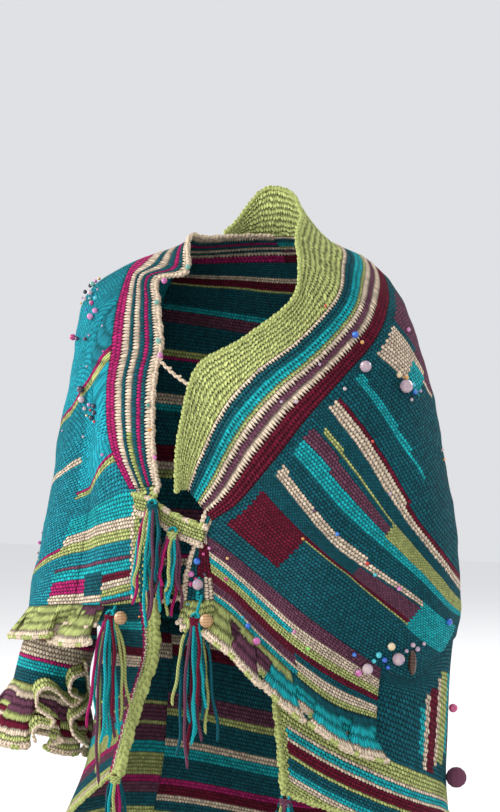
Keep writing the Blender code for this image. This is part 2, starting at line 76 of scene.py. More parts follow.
# Columns: z_front z_right z_left z_back half_right half_left depth_front depth_back power
BODY = (
    (0.030, 0.105, 0.105, 0.140, 0.066, 0.076, 0.064, 0.072, 2.0),
    (0.000, 0.068, 0.062, 0.085, 0.080, 0.128, 0.078, 0.088, 2.0),
    (-0.045, 0.042, 0.036, 0.050, 0.160, 0.180, 0.112, 0.125, 2.0),
    (-0.100, 0.000, -0.008, -0.020, 0.228, 0.220, 0.132, 0.145, 2.2),
    (-0.165, -0.090, -0.090, -0.110, 0.240, 0.254, 0.152, 0.155, 2.3),
    (-0.235, -0.190, -0.190, -0.205, 0.256, 0.280, 0.166, 0.158, 2.4),
    (-0.325, -0.310, -0.310, -0.315, 0.280, 0.302, 0.162, 0.158, 2.5),
    (-0.415, -0.425, -0.410, -0.420, 0.308, 0.310, 0.168, 0.162, 2.5),
    (-0.505, -0.500, -0.485, -0.500, 0.300, 0.294, 0.180, 0.170, 2.4),
    (-0.600, -0.590, -0.570, -0.590, 0.280, 0.288, 0.192, 0.175, 2.4),
)

# Columns as for BODY
SKIRT = (
    (-0.470, -0.470, -0.510, -0.500, 0.186, 0.292, 0.148, 0.158, 2.3),
    (-0.515, -0.560, -0.575, -0.600, 0.196, 0.288, 0.156, 0.166, 2.3),
    (-0.555, -0.650, -0.630, -0.690, 0.210, 0.284, 0.166, 0.176, 2.3),
    (-0.590, -0.735, -0.675, -0.765, 0.252, 0.286, 0.172, 0.184, 2.3),
)

# Columns: angle width first_level last_level depth
FOLDS = (
    (-50, 7.0, 3.6, 7.6, 0.0150),
    (-84, 9.0, 4.2, 7.4, 0.0060),
    (62, 8.0, 5.6, 7.8, 0.0050),
    (98, 9.0, 4.6, 7.6, 0.0050),
    (146, 11.0, 3.6, 7.6, 0.0080),
    (182, 10.0, 3.4, 7.6, 0.0090),
    (216, 11.0, 3.6, 7.6, 0.0080),
)

# Columns: angle level steps_to_next
COLLAR_FREE = (
    (180, 0.00, 6), (118, 0.00, 3), (92, 0.30, 3), (74, 0.75, 3), (63, 1.75, 3),
    (54, 2.70, 2), (35, 2.97, 2), (9, 3.10, 2), (3, 4.20, 2), (2.5, 5.30, 0),
)
COLLAR_SEAM = (
    (180, 1.15, 6), (118, 1.10, 3), (95, 1.30, 3), (78, 2.05, 3), (68, 2.90, 3),
    (53, 3.41, 2), (36, 3.65, 2), (22, 4.06, 2), (12, 4.85, 2), (6.9, 5.30, 0),
)
LEFT_BAND_OUTER = (
    (180, 2.10, 6), (118, 2.15, 3), (100, 2.50, 3), (88, 3.15, 3), (77, 3.68, 3),
    (64, 4.15, 2), (52, 4.62, 2), (42, 5.08, 2), (30, 5.52, 2), (18.5, 5.73, 0),
)
RIGHT_BAND_INNER = (
    (-180, 1.15, 6), (-118, 0.90, 3), (-72, 0.72, 2), (-37, 0.90, 2), (-47, 1.60, 3), (-33, 2.00, 3),
    (-21, 2.70, 2), (-19, 3.45, 2), (-13, 4.60, 2), (-9, 5.25, 0),
)
RIGHT_BAND_OUTER = (
    (-180, 2.10, 6), (-118, 1.95, 3), (-90, 1.75, 4), (-64, 2.10, 3), (-52, 2.60, 3),
    (-44.5, 3.40, 2), (-42.5, 4.00, 2), (-34, 4.80, 2), (-22.9, 5.37, 0),
)
RIGHT_FOLD = ((-52, 2.60, 4), (-54, 3.70, 4), (-46.5, 5.00, 4), (-50, 6.10, 4), (-51, 6.93, 0))
RIGHT_FRONT_EDGE = ((-9, 5.25, 1), (-14.6, 5.81, 2), (-13.3, 6.87, 0))
RIGHT_HEM_FRONT = ((-51, 6.93, 4), (-34, 6.93, 4), (-13.3, 6.87, 0))
RIGHT_HEM_SIDE = ((-118, 7.00, 5), (-84, 7.05, 5), (-51, 6.93, 0))
LEFT_HEM_SIDE = ((118, 7.45, 2), (100, 7.55, 2), (88, 7.80, 1), (78, 8.10, 1), (69, 7.88, 0))
BORDER_TOP = ((69, 7.88, 4), (54, 7.15, 4), (38, 6.51, 3), (26, 6.15, 3), (15.7, 5.92, 0))
BORDER_LOW = ((68, 8.61, 4), (56, 8.30, 4), (40, 7.53, 3), (29, 7.05, 3), (19.7, 6.81, 0))
LEFT_EDGE_FREE = ((15.6, 5.62, 1), (10.8, 6.00, 2), (6.5, 6.41, 2), (4.5, 6.83, 0))
BACK_HEM = ((118, 7.45, 6), (180, 7.05, 6), (242, 7.00, 0))
TIE_UPPER = ((-21, 5.42, 3), (-12, 5.46, 3), (-4, 5.60, 3), (6, 5.72, 3), (15.5, 5.82, 0))
TIE_LOWER = ((-19, 5.66, 3), (-11, 5.70, 3), (-3, 5.84, 3), (6, 5.97, 3), (14, 6.06, 0))

YARNS = {
    "T": (0.006, 0.108, 0.138),
    # S, used on the right sleeve and front, is the teal of T painted about 2.6 times lighter: painted
    # light on that side
    "S": (0.014, 0.285, 0.360),
    "Q": (0.012, 0.440, 0.480),
    "A": (0.018, 0.450, 0.560),
    "L": (0.490, 0.540, 0.185),
    "C": (0.800, 0.640, 0.475),
    "B": (0.155, 0.007, 0.027),
    "M": (0.170, 0.058, 0.100),
    "P": (0.480, 0.018, 0.150),
}
SLOTS = {
    "T": "teal_yarn", "S": "teal_yarn", "Q": "turquoise_yarn", "A": "turquoise_yarn", "L": "lime_yarn",
    "C": "cream_yarn", "B": "burgundy_yarn", "M": "mauve_yarn", "P": "magenta_yarn",
}


def spline(rows, places):
    """The rows of a table at places between its rows, on a smooth curve through them."""
    rows = np.asarray(rows, float)
    places = np.atleast_1d(np.asarray(places, float))
    index = np.clip(np.floor(places).astype(int), 0, len(rows) - 2)
    t = (places - index).reshape((-1,) + (1,) * (rows.ndim - 1))
    at_start = (index == 0).reshape(t.shape)
    at_end = (index == len(rows) - 2).reshape(t.shape)
    second, third = rows[index], rows[index + 1]
    first = np.where(at_start, 2 * second - third, rows[np.maximum(index - 1, 0)])
    fourth = np.where(at_end, 2 * third - second, rows[np.minimum(index + 2, len(rows) - 1)])
    slope = third - first
    bend = 2 * first - 5 * second + 4 * third - fourth
    twist = 3 * second - 3 * third + fourth - first
    return second + 0.5 * t * (slope + t * (bend + t * twist))


def ring_points(rows, angles, push=0.0):
    """Points of rings of the body, each row with its angle, pushed out along the radius."""
    rows = np.broadcast_to(rows, (len(angles), 9)).T
    z_front, z_right, z_left, z_back, right, left, front, back, power = rows
    s, c = np.sin(np.radians(angles)), np.cos(np.radians(angles))
    half = np.where(s > 0, left, right)
    depth = np.where(c > 0, front, back)
    radius = (np.abs(s / half) ** power + np.abs(c / depth) ** power) ** (-1 / power) + push
    z_side = np.where(s > 0, z_left, z_right)
    z_end = np.where(c > 0, z_front, z_back)
    return np.stack([radius * s, -radius * c, z_side * s * s + z_end * c * c], axis=1)


def fold_push(angles, levels):
    """How far the hanging folds draw the cloth in at these places."""
    push = np.zeros(len(angles))
    for centre, width, first, last, depth in FOLDS:
        apart = (angles - centre + 180) % 360 - 180
        inside = (levels > first) & (levels < last + 1.4)
        fade = np.minimum((levels - first) / 1.2, 1) * np.minimum((last + 1.4 - levels) / 0.6, 1)
        push -= inside * depth * fade * np.exp(-((apart / width) ** 2))
    return push


def body_points(angles, levels):
    return ring_points(spline(BODY, levels), angles, fold_push(angles, levels))


def body_skin(places, out=0.0):
    """Points on the body at each (angle, level), moved out along the normal."""
    places = np.asarray(places, float)
    angles, levels = places.reshape(-1, 2).T
    across = body_points(angles + 0.8, levels) - body_points(angles - 0.8, levels)
    down = body_points(angles, levels + 0.03) - body_points(angles, levels - 0.03)
    normal = unit(np.cross(down, across))
    if isinstance(out, np.ndarray):
        out = out.reshape(-1, 1)
    points = body_points(angles, levels) + out * normal
    return points.reshape(places.shape[:-1] + (3,))


def path(table):
    """The (angle, level) points of a table, with its own number of steps between two rows."""
    steps = [row[2] * FINE for row in table[:-1]]
    places = [index + step / count for index, count in enumerate(steps) for step in range(count)]
    return spline([row[:2] for row in table], places + [len(table) - 1])


def between(first, second, shares):
    """A grid from one path to another, with a line at each share of the way."""
    share = np.asarray(shares)[None, :, None]
    return first[:, None] * (1 - share) + second[:, None] * share


def panel(top, bottom, start, end):
    """A grid that fills four paths: start and end run from the top path to the bottom one."""
    u = np.linspace(0, 1, len(top))[:, None, None]
    v = np.linspace(0, 1, len(start))[None, :, None]
    lengthwise = (1 - v) * top[:, None] + v * bottom[:, None]
    crosswise = (1 - u) * start[None] + u * end[None]
    corners = (
        (1 - u) * (1 - v) * top[0] + u * (1 - v) * top[-1]
        + (1 - u) * v * bottom[0] + u * v * bottom[-1]
    )
    return lengthwise + crosswise - corners


def unit(vectors):
    return vectors / np.maximum(np.linalg.norm(vectors, axis=-1, keepdims=True), 1e-9)


def lengths(line):
    """How far along a line of points each one lies."""
    steps = np.linalg.norm(np.diff(line, axis=0), axis=1)
    return np.concatenate([[0], np.cumsum(steps)])


def at_places(places, far, line):
    """The points of a line, or what else it has for each, at places along it."""
    return np.stack([np.interp(places, far, line[:, axis]) for axis in range(3)], axis=1)


def run_of(grid, looped):
    """The way that a line, or each line of a grid, runs at its points."""
    return np.roll(grid, -1, 0) - np.roll(grid, 1, 0) if looped else np.gradient(grid, axis=0)


def resample(line, pitch):
    """Points at even steps along a line, and the way that it runs at each."""
    far = lengths(line)
    count = max(int(far[-1] / pitch), 2)
    points = at_places(np.linspace(0, far[-1], count), far, line)
    return points, unit(np.gradient(points, axis=0))


def add_mesh(name, points, faces, uv, paints, paint_of_face=None):
    """A smooth mesh from arrays. uv has one place for each point, in the chart's own units."""
    points, faces, uv = np.asarray(points, np.float32), np.asarray(faces, np.int32), np.asarray(uv)
    mesh = bpy.data.meshes.new(name)
    sides = faces.shape[1]
    mesh.vertices.add(len(points))
    mesh.vertices.foreach_set("co", points.ravel())
    mesh.loops.add(faces.size)
    mesh.loops.foreach_set("vertex_index", faces.ravel())
    mesh.polygons.add(len(faces))
    mesh.polygons.foreach_set("loop_start", np.arange(0, faces.size, sides, dtype=np.int32))
    mesh.polygons.foreach_set("use_smooth", np.ones(len(faces), bool))
    layer = mesh.uv_layers.new(name="chart")
    layer.uv.foreach_set("vector", uv[faces.ravel()].astype(np.float32).ravel())
    for paint in paints:
        mesh.materials.append(paint)
    if paint_of_face is not None:
        mesh.polygons.foreach_set("material_index", np.asarray(paint_of_face, np.int32))
    mesh.update(calc_edges=True)
    mesh.validate()
    piece = bpy.data.objects.new(name, mesh)
    bpy.context.scene.collection.objects.link(piece)
    return piece


def grid_faces(across, down, looped=False, start=0, flip=False):
    """The four-sided faces of a grid of points, numbered from start."""
    i = np.arange(across if looped else across - 1)[:, None]
    j = np.arange(down - 1)[None]
    after = (i + 1) % across
    corners = [i * down + j, i * down + j + 1, after * down + j + 1, after * down + j]
    faces = np.stack(np.broadcast_arrays(*corners), axis=-1).reshape(-1, 4) + start
    return faces[:, ::-1] if flip else faces


def wall(name, outer, inner, chart, paint, looped=False):
    """A closed thin cloth from the grids of its two skins and the chart's place at each point."""
    across, down = outer.shape[:2]
    count = across * down
    points = np.concatenate([outer.reshape(-1, 3), inner.reshape(-1, 3)])
    faces = [grid_faces(across, down, looped), grid_faces(across, down, looped, count, True)]
    i = np.arange(across if looped else across - 1)
    after = (i + 1) % across
    for edge, turn in ((0, 1), (down - 1, -1)):
        a, b = i * down + edge, after * down + edge
        faces.append(np.stack([a, b, b + count, a + count], axis=1)[:, ::turn])
    if not looped:
        j = np.arange(down - 1)
        for edge, turn in ((0, -1), (across - 1, 1)):
            a, b = edge * down + j, edge * down + j + 1
            faces.append(np.stack([a, b, b + count, a + count], axis=1)[:, ::turn])
    uv = np.concatenate([chart.reshape(-1, 2)] * 2)
    return add_mesh(name, points, np.concatenate(faces), uv, [paint])


def draw_in(points, looped=False):
    """Moves the outline of a grid in, so that two pieces leave a seam between them."""
    moved = points.copy()
    if not looped:
        moved[0] += SEAM * unit(points[1] - points[0])
        moved[-1] += SEAM * unit(points[-2] - points[-1])
    moved[:, 0] += SEAM * unit(points[:, 1] - points[:, 0])
    moved[:, -1] += SEAM * unit(points[:, -2] - points[:, -1])
    return moved


def placed(piece, slot, *nodes):
    """The piece rides on the body and stands for these solids, if there are any."""
    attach(piece, "root")
    if nodes:
        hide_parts(*nodes)


def area_of(grid):
    """The area of a grid of points, which is that of the cloth before it was hung."""
    a, b, c, d = grid[:-1, :-1], grid[:-1, 1:], grid[1:, 1:], grid[1:, :-1]
    doubled = [np.linalg.norm(np.cross(p - a, q - a), axis=-1) for p, q in ((b, c), (c, d))]
    return float(sum(doubled).sum() / 2)


class Field:
    """A number that varies over a surface, as an output of a material's nodes."""

    def __init__(self, finish, socket):
        self.finish = finish
        self.socket = socket

    def math(self, operation, *others):
        values = dict(enumerate((self, *others)))
        return self.finish.field("ShaderNodeMath", {"operation": operation}, values)

    def __add__(self, other):
        return self.math("ADD", other)

    def __sub__(self, other):
        return self.math("SUBTRACT", other)

    def __mul__(self, other):
        return self.math("MULTIPLY", other)

    def __truediv__(self, other):
        return self.math("DIVIDE", other)

    def __pow__(self, other):
        return self.math("POWER", other)

    def __gt__(self, other):
        return self.math("GREATER_THAN", other)

    def __lt__(self, other):
        return self.math("LESS_THAN", other)

    def __abs__(self):
        return self.math("ABSOLUTE")

    def __rsub__(self, other):
        return self * -1 + other

    __radd__ = __add__
    __rmul__ = __mul__

    def floor(self):
        return self.math("FLOOR")

    def fraction(self):
        return self.math("FRACT")

    def clamped(self, low=0.0, high=1.0):
        return self.math("MAXIMUM", low).math("MINIMUM", high)


class Finish:
    """A material with its nodes."""

    def __init__(self, name, roughness, sheen=0.0, coat=0.0, specular=0.5):
        self.material = bpy.data.materials.new(name)
        self.material.use_nodes = True
        self.tree = self.material.node_tree
        self.shader = self.tree.nodes["Principled BSDF"]
        self.shader.inputs["Roughness"].default_value = roughness
        self.shader.inputs["Sheen Weight"].default_value = sheen
        self.shader.inputs["Sheen Roughness"].default_value = 0.6
        self.shader.inputs["Specular IOR Level"].default_value = specular
        self.shader.inputs["Coat Weight"].default_value = coat

    def node(self, kind, settings, values):
        """A node of a kind. Its settings are set first, then the values or links of its sockets."""
        made = self.tree.nodes.new(kind)
        for key, value in settings.items():
            if key == "stops":
                self.set_stops(made.color_ramp, value)
            else:
                setattr(made, key, value)
        for key, value in values.items():
            if isinstance(value, Field):
                self.tree.links.new(value.socket, made.inputs[key])
            else:
                made.inputs[key].default_value = value
        return made

    def field(self, kind, settings, values, output=0):
        return Field(self, self.node(kind, settings, values).outputs[output])

    @staticmethod
    def set_stops(ramp, stops):
        ramp.interpolation = "CONSTANT"
        for index, (place, colour) in enumerate(stops):
            stop = ramp.elements[index] if index < 2 else ramp.elements.new(place)
            stop.position = place
            stop.color = (*colour, 1)
        while len(ramp.elements) > max(len(stops), 1):
            ramp.elements.remove(ramp.elements[-1])

    def chart(self):
        """The place on the chart, and its two numbers."""
        place = self.field("ShaderNodeUVMap", {"uv_map": "chart"}, {})
        split = self.node("ShaderNodeSeparateXYZ", {}, {0: place})
        return place, Field(self, split.outputs[0]), Field(self, split.outputs[1])

    def noise(self, place, scale, detail=2.0):
        values = {"Vector": place, "Scale": scale, "Detail": detail}
        return self.field("ShaderNodeTexNoise", {}, values)

    def mix(self, share, first, second):
        """Two colours mixed by a share."""
        values = {0: share, 6: first, 7: second}
        return self.field("ShaderNodeMix", {"data_type": "RGBA"}, values, 2)

    def shade(self, colour, value):
        """A colour made lighter or darker by a number."""
        grey = self.field("ShaderNodeCombineXYZ", {}, {0: value, 1: value, 2: value})
        return self.field("ShaderNodeVectorMath", {"operation": "MULTIPLY"}, {0: colour, 1: grey})

    def paint(self, colour, bump, distance, strength=1.0):
        values = {"Height": bump, "Distance": distance, "Strength": strength}
        bumped = self.field("ShaderNodeBump", {}, values)
        self.tree.links.new(colour.socket, self.shader.inputs["Base Color"])
        self.tree.links.new(bumped.socket, self.shader.inputs["Normal"])
        return self.material


def chart_stops(rows):
    """The stops of a ramp that gives each row of a chart its yarn."""
    starts = [i for i in range(len(rows)) if i == 0 or rows[i] != rows[i - 1]]
    return [(i / len(rows), YARNS[rows[i]]) for i in starts]


def crochet(name, zones, slant=0.34, hole=0.94, coarse=0.0, fleck=0.0, soft=0.0):
    """Rows of V stitches in the yarns of a chart.

    Each zone is the stitch that it starts at and its rows, a letter for a row, from the first row
    up. slant is how far a stitch's legs reach into the next row, hole how dark the painted shade in
    the gaps is, coarse how far stitches stray and how wide the gaps are, soft how little the painted
    shade between rows shows, and fleck how many stitches are of a paler second ply.
    """
    finish = Finish(name, 0.92, sheen=0.02, specular=0.1)
    place, along, across = finish.chart()
    drift, fuzz, patch = finish.noise(place, 0.45), finish.noise(place, 5.0), finish.noise(place, 0.05)
    wander = (drift - 0.5) * (0.9 + coarse)
    stitch = along + (across.floor() * 0.5).fraction() + wander
    side = abs(stitch.fraction() - 0.5) * 2
    leaning = across + side * slant + (fuzz - 0.5) * 0.3 + wander * 0.5
    row = leaning.floor()
    rise = leaning.fraction()
    legs = (1 - side ** 4) * (0.66 + 0.34 * (side * 6).clamped())
    height = legs * ((1 - rise) * rise * 4).math("POWER", 0.38)
    from_row = abs(rise - 0.16)
    gap = (1.9 - ((1 - side) ** 2 + from_row ** 2 * 4).math("SQRT") * (2.9 - 0.6 * coarse)).clamped()
    cell = finish.field("ShaderNodeCombineXYZ", {}, {0: stitch.floor(), 1: row, 2: 0.5})
    chance = finish.field("ShaderNodeTexWhiteNoise", {"noise_dimensions": "3D"}, {"Vector": cell})
    colour = None
    for start, rows in zones:
        level = ((row + 0.5) / len(rows)).clamped(0.001, 0.999)
        stripes = finish.field("ShaderNodeValToRGB", {"stops": chart_stops(rows)}, {0: level})
        colour = stripes if colour is None else finish.mix(stitch.floor() > start - 0.5, colour, stripes)
    if fleck:
        colour = finish.mix((chance < fleck) * 0.8, colour, finish.shade(colour, 1.6))
    # Painted shade in the gaps and between rows, painted light on the raised yarn; the noises add random
    # tone
    shadow = 1 - hole * gap * (0.6 + 0.4 * chance)
    light = (0.36 + soft + (0.88 - soft) * height) * shadow * (0.68 + 0.64 * fuzz)
    light = light * (0.72 + 0.56 * patch) * (0.74 + 0.52 * chance)
    bump = height + fuzz * 0.4 - gap * 0.9
    return finish.paint(finish.shade(colour, light), bump, 0.0022)


def twisted(name, letter):
    """Loose yarn with two twisted plies. The chart's places are turns round and metres along."""
    finish = Finish(name, 0.9, sheen=0.02, specular=0.1)
    place, turn, far = finish.chart()
    fuzz = finish.noise(place, 300.0, 1.0)
    ply = ((turn * 2 + far / PLY_TURN) * TAU).math("SINE") * 0.5 + 0.5
    height = ply.math("POWER", 0.6)
    # Painted shade in the grooves between the plies, and random tone from the fuzz
    colour = finish.shade(YARNS[letter], (0.5 + 0.6 * height) * (0.75 + 0.5 * fuzz))
    return finish.paint(colour, height + fuzz * 0.3, 0.0006)


def bead_gloss(name, colour, second, roughness=0.14):
    """Glossy beads whose colour drifts to a second one, as an iridescent coating does."""
    finish = Finish(name, roughness, coat=0.6)
    place = finish.field("ShaderNodeTexCoord", {}, {}, "Object")
    cloud, grain = finish.noise(place, 160.0, 1.0), finish.noise(place, 900.0, 1.0)
    share = ((cloud - 0.4) * 3).clamped()
    return finish.paint(finish.mix(share, (*colour, 1), (*second, 1)), grain, 0.0001, 0.3)


def turned_wood(name, dark, pale, roughness):
    finish = Finish(name, roughness, coat=0.15)
    place = finish.field("ShaderNodeTexCoord", {}, {}, "Object")
    values = {"Vector": place, "Scale": 90.0, "Distortion": 5.0, "Detail": 2.0}
    grain = finish.field("ShaderNodeTexWave", {"bands_direction": "Z"}, values, 1)
    return finish.paint(finish.mix(grain, (*dark, 1), (*pale, 1)), grain, 0.0002, 0.4)


def backdrop_grey():
    finish = Finish("pale_floor", 0.9)
    finish.shader.inputs["Base Color"].default_value = (0.92, 0.92, 0.92, 1)
    return finish.material


def banded(sizes):
    """Shares across a piece for the lines through each of its rows, and the chart's row there."""
    edges = np.concatenate([[0], np.cumsum(sizes)]) / sum(sizes)
    places = np.linspace(0, len(sizes), len(sizes) * LINES_A_ROW + 1)
    return np.interp(places, np.arange(len(sizes) + 1), edges), places


def ridge(rows, places):
    """How far each line of a banded piece stands out: its row's height in a round profile."""
    index = np.minimum(places.astype(int), len(rows) - 1)
    share = places - index
    high = np.array([RIDGES.get(rows[i], PLAIN_RIDGE) for i in index])
    return high * np.sqrt(np.clip(4 * share * (1 - share), 0, 1))


def chart_of(stitches, rows):
    """The chart's place at each point of a grid, from its stitches and its rows."""
    return np.stack(np.broadcast_arrays(stitches, rows), axis=-1)


def even_chart(line, rows, lines):
    """A chart with its stitches along a line of points, and a number of rows spread over lines."""
    return chart_of(lengths(line)[:, None] / STITCH, np.linspace(0, rows, lines)[None])


def stitched(name, skins, chart, zones, slot, held, looped=False, **look):
    """A closed cloth between two skins, drawn in at its seams."""
    outer, inner = [draw_in(skin, looped) for skin in skins]
    piece = wall(name, outer, inner, chart, crochet(name, zones, **look), looped)
    finish_sheet(piece, slot, skins[0], [name])
    return skins


def band(name, first, second, zones, sizes, slot, lift=0.0, **look):
    """A striped strip between two paths, with a ridge for each row, lifted off the body at the first."""
    shares, places = banded(sizes)
    raised = ridge(zones[0][1], places)
    grid = between(first, second, shares)
    out = np.broadcast_to(raised + lift * (1 - shares) ** 2, grid.shape[:2]) - BAND_SINK
    skins = body_skin(grid, out), body_skin(grid, out - CLOTH - raised)
    middle = skins[0][:, len(places) // 2]
    chart = chart_of(lengths(middle)[:, None] / STITCH, places[None])
    return stitched(name, skins, chart, zones, slot, "draped", **look)


def rows_of(text):
    """A chart's rows, a letter for each, from runs such as T16 L1 B1."""
    return "".join(run[0] * int(run[1:]) for run in text.split())


# Columns: row, then angle level at places from the row's first side to its last
LEFT_FRONT_ROWS = (
    (0, 15.7, 5.92, 40.0, 6.59, 69.0, 7.88),
    (16.5, 31.1, 5.30, 61.0, 6.50, 75.7, 7.31),
    (30, 37.9, 5.01, 59.1, 6.17, 80.1, 7.00),
    (41, 45.3, 4.69, 59.6, 5.50, 80.2, 6.57),
    (55, 56.0, 4.32, 70.3, 5.54, 79.7, 6.15),
    (65, 66.2, 4.11, 76.1, 5.07, 82.8, 5.47),
    (80, 74.8, 3.66, 82.5, 4.05, 88.4, 4.40),
    (92, 85.0, 3.16, 87.1, 3.30, 94.6, 3.70),
)
RIGHT_ROWS = (
    (0, -118, 7.02, -75, 7.10, -36.0, 7.02, -17.0, 6.95),
    (4, -118, 6.87, -75, 6.97, -36.0, 6.83, -22.5, 6.71),
    (12, -118, 6.56, -75, 6.80, -54.5, 6.54, -41.1, 6.46, -25.8, 6.35),
    (21, -118, 6.16, -75, 6.60, -54.1, 6.18, -42.2, 6.05, -28.7, 5.91),
    (27, -118, 5.92, -75, 6.36, -49.2, 5.87, -40.2, 5.77, -29.2, 5.63),
    (42, -118, 5.25, -75, 5.98, -60.0, 5.66, -47.4, 5.43, -35.9, 4.97),
    (51, -118, 4.85, -75, 5.66, -59.5, 5.41, -51.5, 5.18, -45.5, 4.94),
    (79, -118, 3.70, -75, 4.95, -60.1, 4.50, -53.0, 3.91, -46.7, 3.46),
)

# Columns: first_stitch rows, from the hem up. Stitches count from the band's edge
LEFT_FRONT_CHART = (
    (0, "T110"),
    (3, "T6 B15 T9 C4 T4 Q5 M4 T8 C3 B1 T6 Q4 T8 C10 T2 M13 T8"),
    (6, "T6 B15 T9 C3 T5 Q5 M4 T1 L2 T5 C3 B1 T6 Q3 T9 C10 T2 M13 T8"),
    (14, "T6 B15 T9 C3 T5 Q4 M4 T2 L1 T6 C3 B1 T6 Q3 T10 Q7 C2 M15 T8"),
    (20.5, "T18 L1 B2 T9 C3 T5 Q4 M4 T2 L1 T6 C3 B1 T6 Q2 T16 C1 M15 T11"),
    (28, "T18 L1 B2 T9 C3 T5 Q4 M4 T2 L1 T6 C3 B1 T6 Q1 T44"),
    (37, "T18 L1 B2 M8 T1 C2 T6 Q3 L8 T6 C2 B1 T52"),
    (57, "T17 Q15 T6 Q3 L8 T6 C2 B1 T52"),
    (72, "T38 Q2 L9 T6 C2 B1 T52"),
)
# Stitches count from the front edge
RIGHT_FRONT_CHART = (
    (0, "L1"),
    (1.6, "T1"),
    (3.2, "L1"),
    (4.6, "C1"),
    (6, "L2 M1 Q1 L2 C2 B2 Q3 M1 S4 L3 C3 Q6 S8 L2 P1 A33 L3 P2 S31"),
    (17, "M2 Q1 C2 T6 Q2 M1 S4 L3 C3 Q6 S8 L2 P1 A33 L3 P2 S31"),
    (26, "M2 Q1 C3 P4 Q3 M1 S4 L3 C3 Q6 S8 L2 P1 A33 L3 P2 S31"),
)
# Where the front's rows end on the sleeve, in stitches back over the shoulder
FRONT_ROWS_END_STITCH = 30
RIGHT_SLEEVE_CHART = (
    (0, "M2 Q1 C3 P4 Q3 M1 S4 L3 C3 Q6 S8 L2 P1 A33 L3 P2 A31"),
    (FRONT_ROWS_END_STITCH, "S18 L2 P1 S30 C2 S21 L3 P2 A31"),
)
# Columns: level angle
FRONT_ROWS_END = (
    (2.6, -52), (3.7, -54), (4.94, -53), (5.52, -53.5), (6.06, -56.5), (6.46, -58.5), (6.96, -59.5),
)
BACK_CHART = (
    (0, "T7 C2 B3 L1 T9 Q2 M4 T8 L2 P1 T10 C3 Q2 T9 B4 C2 L2 T7 M3 Q2 T6 P1 C2 T5 L3"),
)
SKIRT_RIGHT_CHART = (
    (0, "L1"),
    (1.5, "C1"),
    (2.5, "P1"),
    (3.5, "T6 Q3 T6 B3 C4 T10 L1 M4 L1 M4 Q3 L6 P2 M3 T4 L2 C2"),
)
SKIRT_BACK_CHART = ((0, "T8 Q2 T6 C3 B3 T9 M4 L2 T6 C2 Q3 T6 P2 B3 C2 T3 L3"),)
SKIRT_LEFT_CHART = ((0, "L1"), (1.5, "T32 L4 C1 Q2 C1 B3 L1 T3 Q2 C2 L2"))
# The row at the left skirt's front top, and how many rows it climbs in each fifty degrees
LEFT_TILT = (16.5, 14.5)
# Columns: first_stitch yarn first_row last_row
GUSSET = (
    (42, "Q", 19, 28), (44, "C", 16, 31), (45.5, "B", 14, 31), (50, "C", 11, 29), (52, "L", 9, 28),
    (57, "Q", 9, 25), (59.5, "B", 10, 24), (63, "T", 0, 32),
)
END_REACH = 12.0


def charted(grid, guides, edge):
    """The stitch and the row at each (angle, level) of a grid.

    Rows are drawn across the body by guides, and stitches count away from an edge.
    """
    angles, levels = grid.reshape(-1, 2).T
    heights = []
    for guide in guides:
        at, level = np.array(guide[1::2]), np.array(guide[2::2])
        height = np.interp(angles, at, level)
        before, after = np.maximum(at[0] - angles, 0), np.maximum(angles - at[-1], 0)
        first, last = (level[1] - level[0]) / (at[1] - at[0]), (level[-1] - level[-2]) / (at[-1] - at[-2])
        height -= first * END_REACH * (1 - np.exp(-before / END_REACH))
        height += last * END_REACH * (1 - np.exp(-after / END_REACH))
        heights.append(height)
    heights = np.array(heights)
    rows = np.array([guide[0] for guide in guides], float)
    index = np.clip((heights > levels).sum(0) - 1, 0, len(rows) - 2)
    pick = np.arange(len(angles))
    low, high = heights[index, pick], heights[index + 1, pick]
    share = (levels - low) / np.minimum(high - low, -0.02)
    row = rows[index] + share * (rows[index + 1] - rows[index])
    line, points = body_skin(edge), body_skin(grid.reshape(-1, 2))
    reach = np.array([np.sqrt(((line - point) ** 2).sum(1).min()) for point in points])
    return chart_of(reach / STITCH, row).reshape(grid.shape)


def zones_of(chart):
    return [(start, rows_of(text)) for start, text in chart]


def gusset_zones():
    """The left skirt's zones, with the upright stripes of its gusset let in."""
    rows = rows_of(SKIRT_LEFT_CHART[-1][1])
    inset = [
        (start, rows[:first] + yarn * (last - first) + rows[last:])
        for start, yarn, first, last in GUSSET
    ]
    return zones_of(SKIRT_LEFT_CHART) + inset


def swell(points):
    """Slow unevenness of hand-made cloth, in metres, from sums of long waves."""
    x, y, z = points[..., 0], points[..., 1], points[..., 2]
    first = np.sin(41 * x + 17 * z + 1.3) * np.sin(33 * z - 21 * y + 0.4)
    second = np.sin(83 * x - 57 * z + 2.1) * np.sin(71 * z + 49 * y + 1.1)
    third = np.sin(190 * x + 130 * z) * np.sin(170 * z - 150 * y)
    return 0.0018 * first + 0.0010 * second + 0.0003 * third


def cloth(name, grid, chart, zones, slot, **look):
    """A stitched panel on the body over a grid of (angle, level), uneven but at its seams."""
    fade = np.ones(grid.shape[:2])
    for axis in (0, 1):
        count = grid.shape[axis]
        rise = np.minimum(np.minimum(np.arange(count), np.arange(count)[::-1]) / SEAM_LINES, 1)
        fade = fade * (rise[:, None] if axis == 0 else rise[None])
    lumps = fade * swell(body_skin(grid))
    skins = body_skin(grid, lumps), body_skin(grid, lumps - CLOTH)
    return stitched(name, skins, chart, zones, slot, "draped", **look)


def finish_sheet(piece, slot, grid, nodes):
    """Puts a piece on the body and hides the solids that it stands for; its area is worked out but not
    used.
    """
    area = area_of(grid)
    placed(piece, slot, *nodes)


def shares_of(count):
    return np.linspace(0, 1, count + 1)


def finer(line, count):
    """Points on the straight runs between the points of a line, count to each run."""
    share = np.linspace(0, 1, count, endpoint=False)[:, None]
    runs = [a * (1 - share) + b * share for a, b in zip(line[:-1], line[1:])]
    return np.concatenate(runs + [line[-1:]])


